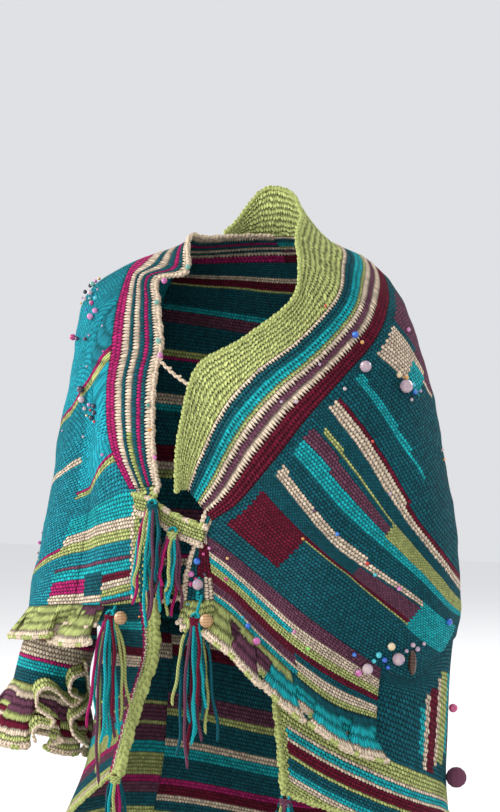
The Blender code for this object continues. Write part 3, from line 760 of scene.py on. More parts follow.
def sweep_normal(grid, toward, looped=False):
    """Unit normals of a grid, turned to the side that toward points to."""
    normal = unit(np.cross(run_of(grid, looped), np.gradient(grid, axis=1)))
    return normal * np.sign((normal * toward).sum(-1, keepdims=True))


def edge_of(skins, last=None):
    """The bottom edge of a piece, up to a column, with the way that its cloth falls there."""
    outer, inner = skins
    fall = unit(outer[:last, -1] - outer[:last, -4])
    return outer[:last, -1], inner[:last, -1], fall


def ruffle(
    name, skins, zones, slot, drop, flare, swing, waves,
    looped=False, squash=0.0, curl=0.5, dip=0.17, seed=0,
):
    """A waved frill hung from an edge. Its waves differ in reach and lean as hand-made ones do.

    Each zone is the share of the length that it starts at and its rows of tall stitches. flare is
    how far the whole edge stands out and swing how far its waves do, curl how much these lean over,
    dip how much lower they hang, and squash how little it stands out towards the body's left.
    """
    outer, inner, fall = skins
    outward = unit(outer - inner)
    count, down = len(outer), FRILL_LINES
    dice = random.Random(seed)
    strong = np.array([dice.uniform(0.75, 1.15) for _ in range(waves + 1)])
    share = np.arange(count) / (count if looped else count - 1)
    turn = TAU * waves * share
    strength = strong[np.minimum((waves * share).astype(int), waves)]
    along = unit(run_of(outer, looped))
    room = 1 - squash * np.maximum(outward[:, :1], 0)
    grid = np.empty((count, down + 1, 3))
    wave = ((1 - np.cos(turn)) / 2 * strength)[:, None]
    lean = np.sin(2 * turn)[:, None]
    for j in range(down + 1):
        v = j / down
        push = room * (flare * v + swing * v**1.2 * wave)
        tuck = max(v - LIP, 0) / (1 - LIP)
        length = drop * (1 - dip * np.cos(turn))[:, None] * (v - 0.10 * tuck**2)
        push = push - 0.009 * tuck**2 * wave
        slide = curl * swing * v * lean
        grid[:, j] = outer + fall * length + outward * push + along * slide
    normal = sweep_normal(grid, outward[:, None], looped)
    back = grid - CLOTH * normal
    back[:, 0] = inner
    chart = even_chart(grid[:, -1], len(zones[0][1]), down + 1)
    starts = [(start * chart[-1, 0, 0], letters) for start, letters in zones]
    return stitched(
        name, (grid, back), chart, starts, slot, "gathered", looped,
        slant=0.2, hole=0.88, coarse=0.6, fleck=0.4, soft=0.15,
    )


def loft(rings, steps):
    """A smooth grid down through a list of equally long lines of points."""
    places = np.linspace(0, len(rings) - 1, steps * (len(rings) - 1) + 1)
    return spline(np.array(rings), places).transpose(1, 0, 2)


def ring_line(row, angles, inward=0.0):
    """Points of a ring at some angles, moved in by the wall where it is asked for."""
    angles = np.asarray(angles, float)
    ahead, behind = ring_points(row, angles + 0.5), ring_points(row, angles - 0.5)
    outward = unit(np.stack([(ahead - behind)[:, 1], (behind - ahead)[:, 0], 0 * angles], axis=1))
    return ring_points(row, angles) - inward * outward


def skirt(name, top, angles, free_angles, zones, row_count, tilt=None):
    """A skirt wall from the lines of its top to the hem, its free edge at an angle for each ring.

    tilt is the row at the front's top, and how many rows the chart climbs in each fifty degrees.
    """
    last = angles[-1]
    share = (angles - last) / (angles[0] - last)
    outer, inner = [
        loft([line] + [
            ring_line(row, last + share * (edge - last), inward) for row, edge in zip(SKIRT, free_angles)
        ], 16)
        for line, inward in zip(top, (0.0, CLOTH))
    ]
    far = lengths(outer[:, -1])[:, None] / STITCH
    places = np.linspace(0, row_count, outer.shape[1])[None]
    if tilt:
        turned = np.degrees(np.arctan2(outer[..., 0], -outer[..., 1]))
        turned -= turned[0, -1]
        far = turned * STITCHES_A_DEGREE
        places = places + tilt[0] - tilt[1] * np.clip(turned / 50, 0, 1.2)
    return stitched(name, (outer, inner), chart_of(far, places), zones, "teal_yarn", "hung")


def puff_shape(around, down, yarn):
    """A unit ball of few faces: its points, faces and chart places, with yarn from end to end."""
    turns = np.arange(around + 1) / around
    tilts = np.linspace(0, math.pi, down + 1)
    points, uv = [], []
    for turn in turns:
        for tilt in tilts:
            ring = math.sin(tilt)
            points.append((math.cos(TAU * turn) * ring, math.sin(TAU * turn) * ring, math.cos(tilt)))
            uv.append((turn, tilt / math.pi * yarn))
    return np.array(points), grid_faces(around + 1, down + 1, flip=True), np.array(uv)


PUFF, BALL = puff_shape(8, 5, PUFF_YARN), puff_shape(16, 10, 1)


def scattered(name, places, paints, slot, index, ball=PUFF, nodes=()):
    """Many small balls as one mesh. Each place is a centre and the three half axes of its ball."""
    shape, faces, uv = ball
    points = np.concatenate([centre + shape @ np.array(axes) for centre, axes in places])
    all_faces = np.concatenate([faces + count * len(shape) for count in range(len(places))])
    all_uv = np.concatenate([uv] * len(places))
    piece = add_mesh(name, points, all_faces, all_uv, paints, np.repeat(index, len(faces)))
    placed(piece, slot, *nodes)


def edging(name, skins, side, letters, size, pitch=0.0056, wave=0.0, out=0.0010, slot=None):
    """A row of crocheted puffs along one side of a piece. wave makes scallops of four puffs."""
    outer, inner = skins
    cut = {
        "low": (np.s_[:, -1], np.s_[:, -3]), "top": (np.s_[:, 0], np.s_[:, 2]),
        "start": (np.s_[0], np.s_[2]), "end": (np.s_[-1], np.s_[-3]),
    }[side]
    line, within = (outer[cut[0]] + inner[cut[0]]) / 2, (outer[cut[1]] + inner[cut[1]]) / 2
    points, along = resample(line, pitch)
    far = lengths(line)
    at = lengths(points)
    at = at / at[-1] * far[-1]
    away = unit(at_places(at, far, unit(line - within)))
    away = unit(away - (away * along).sum(1, keepdims=True) * along)
    flat = np.cross(along, away)
    places = []
    for index, (centre, run, off, thin) in enumerate(zip(points, along, away, flat)):
        grow = size * (1 + 0.10 * math.sin(index * 2.4) + wave * abs(math.sin(index * math.pi / 4)))
        lean = 0.4 * math.sin(index * 1.7)
        axes = (unit(run + lean * off) * grow * 1.05, unit(off - lean * run) * grow, thin * grow * 0.72)
        places.append((centre + off * out, axes))
    index = [(i // 2) % len(letters) for i in range(len(places))]
    paints = [yarn_paint(letter) for letter in letters]
    scattered(name, places, paints, slot or SLOTS[letters[0]], index)


yarn_paints = {}


def yarn_paint(letter):
    if letter not in yarn_paints:
        yarn_paints[letter] = twisted("loose_" + SLOTS[letter] + "_" + letter, letter)
    return yarn_paints[letter]


def tube_mesh(line, radius):
    """The points, faces and chart places of a length of yarn along a line, thinner at its ends."""
    along = unit(np.gradient(line, axis=0))
    helper = np.where(np.abs(along[:, 2:]) > 0.9, (1.0, 0, 0), (0, 0, 1.0))
    across = unit(np.cross(along, helper))
    other = np.cross(along, across)
    turn = TAU * np.arange(YARN_SIDES + 1) / YARN_SIDES
    size = np.full(len(line), radius)
    size[[0, -1]] *= 0.3
    rim = np.cos(turn)[None, :, None] * across[:, None] + np.sin(turn)[None, :, None] * other[:, None]
    points = line[:, None] + rim * size[:, None, None]
    uv = chart_of(np.arange(YARN_SIDES + 1)[None] / YARN_SIDES, lengths(line)[:, None])
    return points.reshape(-1, 3), grid_faces(len(line), YARN_SIDES + 1), uv.reshape(-1, 2)


def tubes(name, lines, letters, radius, slot):
    """Several lengths of yarn as one mesh, each in its own yarn."""
    points, faces, uvs, index, start = [], [], [], [], 0
    used = sorted(set(letters))
    for line, letter in zip(lines, letters):
        shape, sides, uv = tube_mesh(line, radius)
        points.append(shape)
        faces.append(sides + start)
        uvs.append(uv)
        index.append(np.full(len(sides), used.index(letter)))
        start += len(shape)
    piece = add_mesh(
        name, np.concatenate(points), np.concatenate(faces), np.concatenate(uvs),
        [yarn_paint(letter) for letter in used], np.concatenate(index),
    )
    placed(piece, slot, name)


def tassel(name, knot, length, strands, spread, seed, letters, forward=0.0, lead=None):
    """A yarn tassel: strands that hang from a knot at their own lengths and fan out."""
    dice = random.Random(seed)
    lines, yarns = [], []
    for index in range(strands):
        turn = TAU * index / (strands - 1) if index else 0
        root_out = 0.0050 if index else 0.0
        reach = length * dice.uniform(0.55, 1)
        lean = spread * dice.uniform(0.7, 2.6) if index else 0.0
        v = np.linspace(0, 1, 40)[:, None]
        out = root_out + lean * (0.55 * np.sin(np.minimum(v * 3, 1) * math.pi / 2) + 0.45 * v)
        sway = 0.0034 * np.sin(6 * v + 2.3 * index) + 0.0016 * np.sin(15 * v + 2 * index)
        offset = np.concatenate([
            math.cos(turn) * out + sway * v,
            0.55 * math.sin(turn) * out - forward * v,
            0.005 * np.sin(np.minimum(v * 14, 1) * math.pi) - 0.002 - reach * v,
        ], axis=1)
        lines.append(np.array(knot) + offset)
        yarns.append(letters[index % len(letters)])
    if lead is not None:
        lines.append(finer(np.array([knot, (np.array(knot) + lead) / 2, lead - (0, 0, 0.004), lead]), 8))
        yarns.append(letters[0])
    turn = np.linspace(0, 3.2 * TAU, 70)[:, None]
    wrap = np.concatenate([
        0.0062 * np.cos(turn), 0.0046 * np.sin(turn), 0.0042 - 0.0105 * turn / turn[-1],
    ], axis=1)
    lines.append(np.array(knot) + wrap)
    yarns.append(letters[-1])
    top = np.linspace(0, TAU, 30)[:, None]
    bow = np.concatenate([0.0052 * np.sin(top), 0.002 * np.cos(top), 0.004 + 0.0042 * np.cos(top)], axis=1)
    lines.append(np.array(knot) + bow)
    yarns.append(letters[0])
    tubes(name, lines, yarns, STRAND, SLOTS[letters[0]])


def on_body(angle, level, out=0.0):
    return body_skin([[angle, level]], out)[0]


collar_free, collar_seam = path(COLLAR_FREE), path(COLLAR_SEAM)
left_outer = path(LEFT_BAND_OUTER)
right_inner, right_outer = path(RIGHT_BAND_INNER), path(RIGHT_BAND_OUTER)
border_top, border_low = path(BORDER_TOP), path(BORDER_LOW)
left_hem, back_hem = path(LEFT_HEM_SIDE), path(BACK_HEM)
right_hem_side, right_hem_front = path(RIGHT_HEM_SIDE), path(RIGHT_HEM_FRONT)
right_fold = path(RIGHT_FOLD)

nape_seam = right_inner[FINE : 4 * FINE + 1][::-1] + (360, 0)
nape_places = np.linspace(0, 3, 3 * FINE + 1)
nape_rise = np.interp(nape_places, range(4), (0.08, 0.36, 0.72, 1.0))[:, None] * (0, 1)
whole_free = np.concatenate([nape_seam - nape_rise, collar_free])
whole_seam = np.concatenate([nape_seam, collar_seam])
collar = band(
    "collar", whole_free, whole_seam, [(0, "L" * 8)], [0.007] * 8, "lime_yarn",
    lift=0.005, coarse=1.3, fleck=0.45, soft=0.3,
)
band(
    "left_front_band", collar_seam, left_outer, [(0, "CTTQQLCMCBBB")],
    [0.007, 0.006, 0.006, 0.007, 0.007, 0.004, 0.009, 0.0075, 0.009, 0.0055, 0.0055, 0.005],
    "burgundy_yarn", slant=0.6,
)
right_band = band(
    "right_front_band", right_inner, right_outer, [(0, "CTPTCTCPP"), (112, "CTPTLTCPP")],
    [0.009, 0.005, 0.005, 0.006, 0.007, 0.004, 0.008, 0.005, 0.005], "magenta_yarn", slant=0.5,
)

ROWS_DOWN = 96
left_side_seam = np.linspace(left_outer[6 * FINE], left_hem[0], ROWS_DOWN + 1)
left_tip = np.linspace(left_outer[-1], border_top[-1], ROWS_DOWN + 1)
left_bottom = np.concatenate([left_hem, border_top[1:]])
left_grid = panel(left_outer[6 * FINE :], left_bottom, left_side_seam, left_tip)
left_chart = charted(left_grid, LEFT_FRONT_ROWS, left_outer)
cloth("left_front", left_grid, left_chart, zones_of(LEFT_FRONT_CHART), "teal_yarn")

fold_rows = len(right_fold)
right_side_seam = np.linspace(right_outer[6 * FINE], right_hem_side[0], fold_rows)
sleeve_grid = panel(right_outer[6 * FINE : 16 * FINE + 1], right_hem_side, right_side_seam, right_fold)
sleeve_chart = charted(sleeve_grid, RIGHT_ROWS, right_outer)
past_front = np.interp(sleeve_grid[..., 1], *np.transpose(FRONT_ROWS_END)) - sleeve_grid[..., 0]
sleeve_chart[..., 0] = FRONT_ROWS_END_STITCH + STITCHES_A_DEGREE * past_front
right_sleeve = cloth(
    "right_sleeve", sleeve_grid, sleeve_chart, zones_of(RIGHT_SLEEVE_CHART), "teal_yarn", coarse=0.4
)
band_end = between(right_inner[-1:], right_outer[-1:], shares_of(4 * FINE))[0][::-1]
front_side = np.concatenate([right_outer[16 * FINE :], band_end[1:], path(RIGHT_FRONT_EDGE)[1:]])
across_front = np.linspace(right_outer[16 * FINE], right_outer[16 * FINE], len(right_hem_front))
front_grid = panel(across_front, right_hem_front, right_fold, front_side)
front_chart = charted(front_grid, RIGHT_ROWS, path(RIGHT_FRONT_EDGE))
right_front = cloth(
    "right_front", front_grid, front_chart, zones_of(RIGHT_FRONT_CHART), "turquoise_yarn"
)

border_zones = zones_of(((0, "M5 C4 L3 B2 T2 C3 L2"), (28, "M5 C2 Q2 L3 B3 M3 C1 Q2")))
border_start = between(border_top[-1:], border_low[-1:], shares_of(4 * FINE))[0]
border_end = between(border_top[:1], border_low[:1], shares_of(4 * FINE))[0]
border_grid = panel(border_top, border_low, border_end, border_start)
border_rows = len(border_zones[0][1])
border_chart = even_chart(body_skin(border_grid[:, 2 * FINE]), border_rows, border_grid.shape[1])
left_border = cloth("left_border", border_grid, border_chart, border_zones, "mauve_yarn")

EDGE_ROWS = rows_of("C1 T2 Q1 T1 C2")
edge_top = between(collar_seam[-1:], left_outer[-1:], np.linspace(0.75, 1, 2 * FINE + 1))[0]
edge_low = between(path(LEFT_EDGE_FREE)[-1:], border_start[-1:], shares_of(2 * FINE))[0]
edge_upper = np.linspace(left_outer[-1], border_start[0], FINE, endpoint=False)
edge_outer = np.concatenate([edge_upper, border_start])
edge_grid = panel(edge_top, edge_low, path(LEFT_EDGE_FREE), edge_outer)
edge_chart = even_chart(body_skin(edge_grid[FINE]), len(EDGE_ROWS), edge_grid.shape[0]).transpose(1, 0, 2)
edge_zones = [(0, EDGE_ROWS), (9, rows_of("C1 T2 B4")), (18, EDGE_ROWS)]
left_edge = cloth("left_edge_strip", edge_grid, edge_chart, edge_zones, "burgundy_yarn")

back_top = np.concatenate([left_outer[: 6 * FINE + 1][::-1], right_outer[1 : 6 * FINE + 1] + (360, 0)])
back_right_seam = np.linspace(right_side_seam[0], right_side_seam[-1], ROWS_DOWN // 2 + 1) + (360, 0)
back_grid = panel(back_top, back_hem, left_side_seam[::2], back_right_seam)
back_zones = zones_of(BACK_CHART)
back_line = body_skin(back_grid[:, ROWS_DOWN // 4])
back_chart = even_chart(back_line, len(back_zones[0][1]), back_grid.shape[1])
back = cloth("back", back_grid, back_chart, back_zones, "teal_yarn")

hem_frill = ruffle(
    "right_hem_ruffle", edge_of(right_front, 4 * FINE + 1), [(0, "LLLC"), (0.3, "MLLC")], "lime_yarn",
    drop=0.042, flare=0.013, swing=0.032, waves=2, curl=1.0, dip=0.36, seed=1,
)
side_frill = ruffle(
    "right_side_ruffle", edge_of(right_sleeve), [(0, "LLLC")], "lime_yarn",
    drop=0.041, flare=0.012, swing=0.026, waves=5, curl=0.9, seed=2,
)
left_frill = ruffle(
    "left_ruffle", edge_of(left_border),
    [(0, "TQQC"), (0.46, "LQQC"), (0.56, "LMMC"), (0.86, "LLLC")], "cream_yarn",
    drop=0.046, flare=0.006, swing=0.030, waves=5, curl=0.9, seed=3,
)
edge_frill = ruffle(
    "left_edge_ruffle", edge_of(left_edge), [(0, "LLLC")], "lime_yarn",
    drop=0.036, flare=0.005, swing=0.020, waves=1, seed=4,
)
back_frill = ruffle(
    "back_ruffle", edge_of(back), [(0, "QLLMLC")], "cream_yarn",
    drop=0.044, flare=0.010, swing=0.020, waves=10, curl=0.8, seed=5,
)

# Columns: x y z
CUFF_ARC = ((-0.199, -0.108, -0.424), (-0.206, -0.045, -0.424), (-0.242, 0.000, -0.424))
# Columns: x y z radius
CUFF = (
    (-0.246, -0.056, -0.456, 0.046),
    (-0.256, -0.061, -0.500, 0.048),
    (-0.261, -0.062, -0.536, 0.052),
)
# Points round the lower sleeve, and how far its cuff slopes
TURNS = 96
CUFF_SLOPE = 0.012
sleeve_seam = body_skin(right_hem_side[3 * FINE : 9 * FINE + 1], -LAP)
arc_rows = np.array([sleeve_seam[-1], *np.array(CUFF_ARC), sleeve_seam[0]])
arc = spline(arc_rows, np.linspace(0, 4, 9 * 6 + 2))[1:-1]
joined = np.concatenate([sleeve_seam, arc, sleeve_seam[:1]])
joined_far = lengths(joined)
even = np.linspace(0, joined_far[-1], TURNS, endpoint=False)
cuff_top = at_places(even, joined_far, joined)
start_turn = math.atan2(cuff_top[0][1] - CUFF[0][1], cuff_top[0][0] - CUFF[0][0])
even_turn = start_turn + TAU * np.arange(TURNS) / TURNS
round_x, round_y = np.cos(even_turn), np.sin(even_turn)
slope = CUFF_SLOPE * np.sin(even_turn - 2.4)
cuff_rings = [cuff_top] + [
    np.stack([x + radius * round_x, y + radius * round_y, z + slope], axis=1) for x, y, z, radius in CUFF
]
sleeve_outer = loft(cuff_rings, 14)
away = (sleeve_outer - sleeve_outer.mean((0, 1))) * (1, 1, 0)
sleeve_inner = sleeve_outer - CLOTH * sweep_normal(sleeve_outer, away, True)
LOWER_ROWS = rows_of("T4 P1 M3 Q1 M2 P1 C4 P1 Q3 T4")
lower_chart = even_chart(sleeve_outer[:, 20], len(LOWER_ROWS), sleeve_outer.shape[1])
lower_sleeve = stitched(
    "right_lower_sleeve", (sleeve_outer, sleeve_inner), lower_chart, [(0, LOWER_ROWS)],
    "teal_yarn", "hung", True,
)
closed = [np.concatenate([skin, skin[:1]]) for skin in lower_sleeve]
cuff_edge = [finer(line, 3)[:-1] for line in edge_of(closed)]
cuff_frill = ruffle(
    "right_cuff_ruffle", cuff_edge, [(0, "LCMMLBCLC")], "cream_yarn",
    drop=0.078, flare=0.020, swing=0.026, waves=6, looped=True, squash=1.0, curl=0.7, seed=6,
)

# Columns: across height, both in mm, from the front of the cuff seam
CURL_UPPER = (
    (42, 34), (28, 28), (25, 10), (38, 0), (29, -7), (19, 0), (8, 12), (-6, 17), (-18, 9), (-18, -8),
    (-5, -17), (5, -24), (1, -33), (-14, -31), (-22, -40), (-18, -50),
)
CURL_SIDE = ((44, 46), (47, 20), (49, -6), (39, -18), (28, -25), (32, -42), (50, -58))
# The way that the strips face, in radians from the front towards the wearer's left
CURL_TURN = 0.5


def curled_strip(name, table):
    """A narrow frill: its seam winds over the lower sleeve and its free edge stands to the front."""
    x, y, z, radius = CUFF[-1]
    side = np.array((math.cos(CURL_TURN), math.sin(CURL_TURN), 0))
    front = np.array((math.sin(CURL_TURN), -math.cos(CURL_TURN), 0))
    winding = spline(np.array(table) / 1000, np.linspace(0, len(table) - 1, 9 * len(table)))
    across, height = winding[:, :1], winding[:, 1:]
    flared = radius + 0.55 * np.maximum(-height, 0)
    depth = np.sqrt(np.maximum(flared**2 - across**2, 1e-4))
    seam = (x, y, z) + across * side + depth * front + height * (0, 0, 1)
    rise = np.linspace(0, 1, CURL_LINES)[None, :, None]
    grid = seam[:, None] + rise * (0.013 * front + 0.006 * side - (0, 0, 0.011))
    normal = sweep_normal(grid, (0.0, 0.0, 1.0))
    normal[:] = normal[:, :1]
    skins = grid + CLOTH / 2 * normal, grid - CLOTH / 2 * normal
    paint = crochet(name, [(0, "LL")], slant=0.2, hole=0.8, coarse=0.5, fleck=0.35)
    piece = wall(name, *skins, even_chart(seam, 2, CURL_LINES), paint)
    finish_sheet(piece, "lime_yarn", grid, [])
    edging(name + "_edge", skins, "low", "C", 0.0036, 0.0054)


curled_strip("cuff_curl_upper", CURL_UPPER)
curled_strip("cuff_curl_side", CURL_SIDE)

# The right skirt's top inside the upper tier: angles, half widths there, and points along it all
INSIDE_ANGLES = (-56.0, -66, -76, -86, -97, -108)
INSIDE_HALVES = (0.184, 0.180, 0.180, 0.182, 0.198, 0.232)
TOP_POINTS = 120
coarse_angles = np.concatenate([right_hem_front[1:, 0][::-1][::FINE], INSIDE_ANGLES, [-118]])
right_places = np.linspace(0, len(coarse_angles) - 1, TOP_POINTS)
right_angles = np.interp(right_places, range(len(coarse_angles)), coarse_angles)
right_top = []
for inward in (0.0, CLOTH):
    hem = body_skin(right_hem_front[1:], -LAP - inward)[::-1]
    inside = [
        ring_line((-0.43, -0.43, -0.43, -0.43, half, half, 0.150, 0.150, 2.2), [angle], inward)
        for angle, half in zip(INSIDE_ANGLES, INSIDE_HALVES)
    ]
    corner = body_skin(right_hem_side[:1], -LAP - inward)
    right_top.append(spline(np.concatenate([hem[::FINE], *inside, corner]), right_places))
skirt_right = skirt(
    "skirt_right", right_top, right_angles, (-19, -23, -26, -28), zones_of(SKIRT_RIGHT_CHART), 64
)
hem_skins = [body_skin(back_hem, -LAP - inward) for inward in (0.0, CLOTH)]
skirt_back = skirt("skirt_back", hem_skins, back_hem[:, 0], (118,) * 4, zones_of(SKIRT_BACK_CHART), 67)
under = np.stack([np.linspace(62, 42, 22), np.full(22, 7.95)], 1)
left_top = [
    np.concatenate([body_skin(left_hem, -LAP - inward), body_skin(under, -0.012 - inward)])[::-1]
    for inward in (0.0, CLOTH)
]
left_angles = np.concatenate([left_hem[:, 0], under[:, 0]])[::-1]
skirt_left = skirt(
    "skirt_left", left_top, left_angles, (43, 44, 44.5, 45), gusset_zones(), 39, LEFT_TILT
)

TIE_LIFT = 0.0005
TIE_LINES = 16
TIE_ROWS = "LLLLC"
tie_grid = between(path(TIE_UPPER), path(TIE_LOWER), shares_of(TIE_LINES))
tie_skins = body_skin(tie_grid, TIE_LIFT + 0.0032), body_skin(tie_grid, TIE_LIFT)
tie_chart = even_chart(tie_skins[0][:, TIE_LINES // 2], len(TIE_ROWS), TIE_LINES + 1)
tie = wall("bust_tie", *tie_skins, tie_chart, crochet("bust_tie", [(0, TIE_ROWS)], coarse=0.4))
finish_sheet(tie, "lime_yarn", tie_skins[0], ["bust_tie"])

# How far apart a chain's links are, and the half sizes of one and of the picot beside every
# fourth: along it, up and out
LINK_PITCH = 0.0046
LINK = (0.0042, 0.0025, 0.0023)
PICOT = (0.0024, 0.0022, 0.0020)


def chain(name, first, last, sag):
    """A crocheted chain that hangs between two edges, as links that lie in each other."""
    share = np.linspace(0, 1, 60)[:, None]
    line = first * (1 - share) + last * share - 4 * share * (1 - share) * (0, 0, sag)
    points, along = resample(line, LINK_PITCH)
    places = []
    for index, (centre, run) in enumerate(zip(points, along)):
        up = unit(np.cross(run, (0.0, -1.0, 0.0)))
        lean = 0.5 if index % 2 else -0.5
        axes = unit(run + lean * up) * LINK[0], unit(up - lean * run) * LINK[1], (0, -LINK[2], 0)
        places.append((centre, axes))
        if index % 4 == 1:
            axes = PICOT[0] * run, PICOT[1] * up, (0, -PICOT[2], 0)
            places.append((centre - 0.0030 * up, axes))
    scattered(name, places, [yarn_paint("C")], "cream_yarn", [0] * len(places), nodes=[name])


def end_of(edge):
    """The middle of the cloth a little short of the end of a path."""
    end, before = body_skin(edge[-1]), body_skin(edge[-2])
    return body_skin(edge[-1], -CLOTH / 2) + 0.007 * unit(before - end)


neck_right = body_skin(right_inner[20 * FINE], -CLOTH / 2)
neck_left = body_skin(whole_free[26 * FINE], -CLOTH / 2)
chain("neck_chain", neck_right, neck_left, 0.004)
chain("waist_chain", end_of(path(RIGHT_FRONT_EDGE)), end_of(path(LEFT_EDGE_FREE)), 0.008)

KNOT_OUT = 0.72 * KNOT + TIE_LIFT + 0.003 + 0.0004
tassel("tassel_bust", on_body(-9.5, 5.53, KNOT_OUT), 0.160, 13, 0.008, 3, "QPLQMT", 0.012)
tassel("tassel_tie", on_body(0.5, 5.90, KNOT_OUT), 0.105, 10, 0.006, 5, "QMPL", 0.012)
waist_knot = on_body(-28, 7.10, 0.012)
waist_lead = (right_front[0][5 * FINE, -1] + right_front[1][5 * FINE, -1]) / 2 - (0, 0, 0.0007)
tassel("tassel_waist_right", waist_knot, 0.215, 14, 0.013, 7, "QLPMQB", 0.004, waist_lead)
edge_knot = on_body(15.5, 7.10, 0.024)
tassel("tassel_waist_left", edge_knot, 0.185, 14, 0.010, 11, "QTLMQB", 0.0, on_body(14, 6.74, 0.002))
drop = np.array([0, 0, -1.05 * KNOT - 0.0015])
right_corner = (skirt_right[0][0, -1] + skirt_right[0][1, -1]) / 2
left_corner = (skirt_left[0][0, -1] * 3 + skirt_left[0][1, -1]) / 4
tassel("tassel_hem_right", right_corner + drop, 0.115, 10, 0.007, 13, "PTQL")
tassel("tassel_hem_left", left_corner + drop, 0.110, 10, 0.007, 17, "QTLM")

pale_wood = turned_wood("pale_wood_grain", (0.42, 0.22, 0.09), (0.62, 0.38, 0.20), 0.42)
dark_wood = turned_wood("dark_wood_grain", (0.03, 0.012, 0.008), (0.10, 0.04, 0.02), 0.25)
pink = bead_gloss("pink_gloss", (0.55, 0.05, 0.18), (0.7, 0.15, 0.3), 0.3)
pearl = bead_gloss("pearl_sheen", (0.55, 0.40, 0.40), (0.38, 0.28, 0.46), 0.25)
for node, paint in (
    ("wood_bead_right", pale_wood), ("wood_bead_left", pale_wood), ("wood_drop", dark_wood),
    ("mauve_bobble", yarn_paint("M")), ("pink_bobble", pink), ("pearl_band", pearl),
    ("pearl_shoulder", pearl), ("pearl_waist", pearl), ("pearl_wing", pearl),
):
    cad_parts[node].data.materials.clear()
    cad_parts[node].data.materials.append(paint)


edging("collar_edge", collar, "top", "L", 0.0042, 0.0062)
edging("right_band_picots", right_band, "top", "C", 0.0034, 0.0058, 0.45)
front_low = [skin[:, -len(path(RIGHT_FRONT_EDGE)) :] for skin in right_front]
edging("front_edge_scallops", front_low, "end", "CL", 0.0036, 0.0062, 0.35, slot="lime_yarn")
edging("left_edge_picots", left_edge, "start", "C", 0.0032, 0.0056, 0.4)
for name, skins, letters, size in (
    ("hem_frill_edge", hem_frill, "CCL", 0.0036),
    ("side_frill_edge", side_frill, "CLL", 0.0036),
    ("left_frill_edge", left_frill, "CCL", 0.0038),
    ("edge_frill_edge", edge_frill, "CL", 0.0034),
    ("back_frill_edge", back_frill, "CLL", 0.0036),
    ("cuff_frill_edge", cuff_frill, "CCLC", 0.0040),
):
    edging(name, skins, "low", letters, size)
edging("skirt_right_front_scallops", skirt_right, "start", "L", 0.0050, 0.0074, 0.3, 0.0015)
edging("skirt_right_front_shells", skirt_right, "start", "L", 0.0056, 0.0080, 0.4, 0.0085)
for side, skins in (("right", skirt_right), ("back", skirt_back), ("left", skirt_left)):
    edging("skirt_" + side + "_hem_scallops", skins, "low", "L", 0.0036, 0.0062, 0.3)
edging("skirt_left_front_scallops", skirt_left, "start", "L", 0.0042, 0.0068, 0.45)
edging("tie_edge", tie_skins, "low", "C", 0.0030, 0.0048, 0.4)
edging("tie_top", tie_skins, "top", "LLC", 0.0032, 0.0050, 0.5)

BEAD_COLOURS = {
    "W": ((0.62, 0.48, 0.48), (0.44, 0.30, 0.50)),
    "P": ((0.60, 0.12, 0.38), (0.72, 0.35, 0.60)),
    "M": ((0.50, 0.02, 0.16), (0.60, 0.10, 0.30)),
    "D": ((0.020, 0.018, 0.045), (0.10, 0.03, 0.09)),
    "B": ((0.02, 0.10, 0.60), (0.05, 0.32, 0.75)),
    "Q": ((0.03, 0.42, 0.52), (0.10, 0.60, 0.66)),
    "G": ((0.10, 0.38, 0.30), (0.35, 0.58, 0.48)),
    "O": ((0.75, 0.32, 0.06), (0.80, 0.50, 0.20)),
    "Y": ((0.80, 0.62, 0.34), (0.85, 0.72, 0.50)),
    "R": ((0.65, 0.02, 0.02), (0.75, 0.10, 0.08)),
    "N": ((0.12, 0.75, 0.10), (0.40, 0.85, 0.20)),
}
# Columns: angle level radius_in_mm colour
SHOULDER_BEADS = (
    (-78.5, 2.80, 3, "D"), (-76.0, 2.92, 3, "D"), (-80.5, 2.70, 2.6, "P"), (-78.5, 2.60, 2, "O"),
    (-74.5, 2.72, 3.6, "G"), (-74.0, 3.02, 2, "W"), (-68.5, 2.84, 3.6, "W"), (-62.5, 2.84, 3, "Q"),
    (-69.5, 2.99, 2.6, "W"), (-72.5, 3.10, 1.6, "O"), (-63.0, 2.95, 3.2, "M"), (-58.5, 3.02, 3.6, "P"),
    (-59.5, 3.15, 4.2, "P"), (-64.5, 3.10, 1.6, "B"), (-59.0, 3.50, 2.6, "D"), (-57.5, 3.42, 1.6, "W"),
    (-71.5, 3.62, 4.5, "M"), (-65.5, 3.58, 3, "D"), (-66.5, 2.92, 1.8, "G"), (-66.5, 2.70, 1.6, "W"),
    (-52.0, 3.16, 1.4, "W"),
)
ARM_BEADS = (
    (-56.0, 4.22, 5, "D"), (-55.0, 4.36, 4.6, "W"), (-53.5, 4.48, 2.6, "W"), (-51.8, 4.40, 2.4, "P"),
    (-51.0, 4.47, 1.8, "R"), (-48.6, 4.38, 3.2, "D"), (-47.4, 4.47, 3.2, "D"), (-49.5, 4.57, 3.4, "D"),
    (-52.5, 4.57, 1.8, "Y"), (-47.0, 4.60, 2, "R"), (-55.5, 3.86, 1.4, "W"), (-47.5, 3.50, 1.4, "P"),
    (-53.0, 4.88, 1.8, "W"), (-36.5, 4.98, 2, "P"), (-63.0, 4.88, 1.4, "W"), (-71.0, 6.12, 2, "W"),
    (-71.5, 6.24, 2.6, "P"), (-72.5, 6.36, 2, "W"), (-67.0, 6.42, 2, "G"), (-71.0, 6.02, 1.6, "G"),
    (-16.5, 7.08, 1.4, "O"),
)
NECK_BEADS = (
    (-33.5, 0.82, 3.6, "G"), (-39.5, 1.56, 4, "P"), (-32.0, 2.00, 3.4, "G"), (-21.0, 2.72, 3.8, "G"),
    (-17.5, 2.98, 3.8, "P"), (-17.8, 3.94, 2.6, "G"), (-14.4, 4.36, 2.4, "O"), (-9.6, 4.82, 2.8, "P"),
)
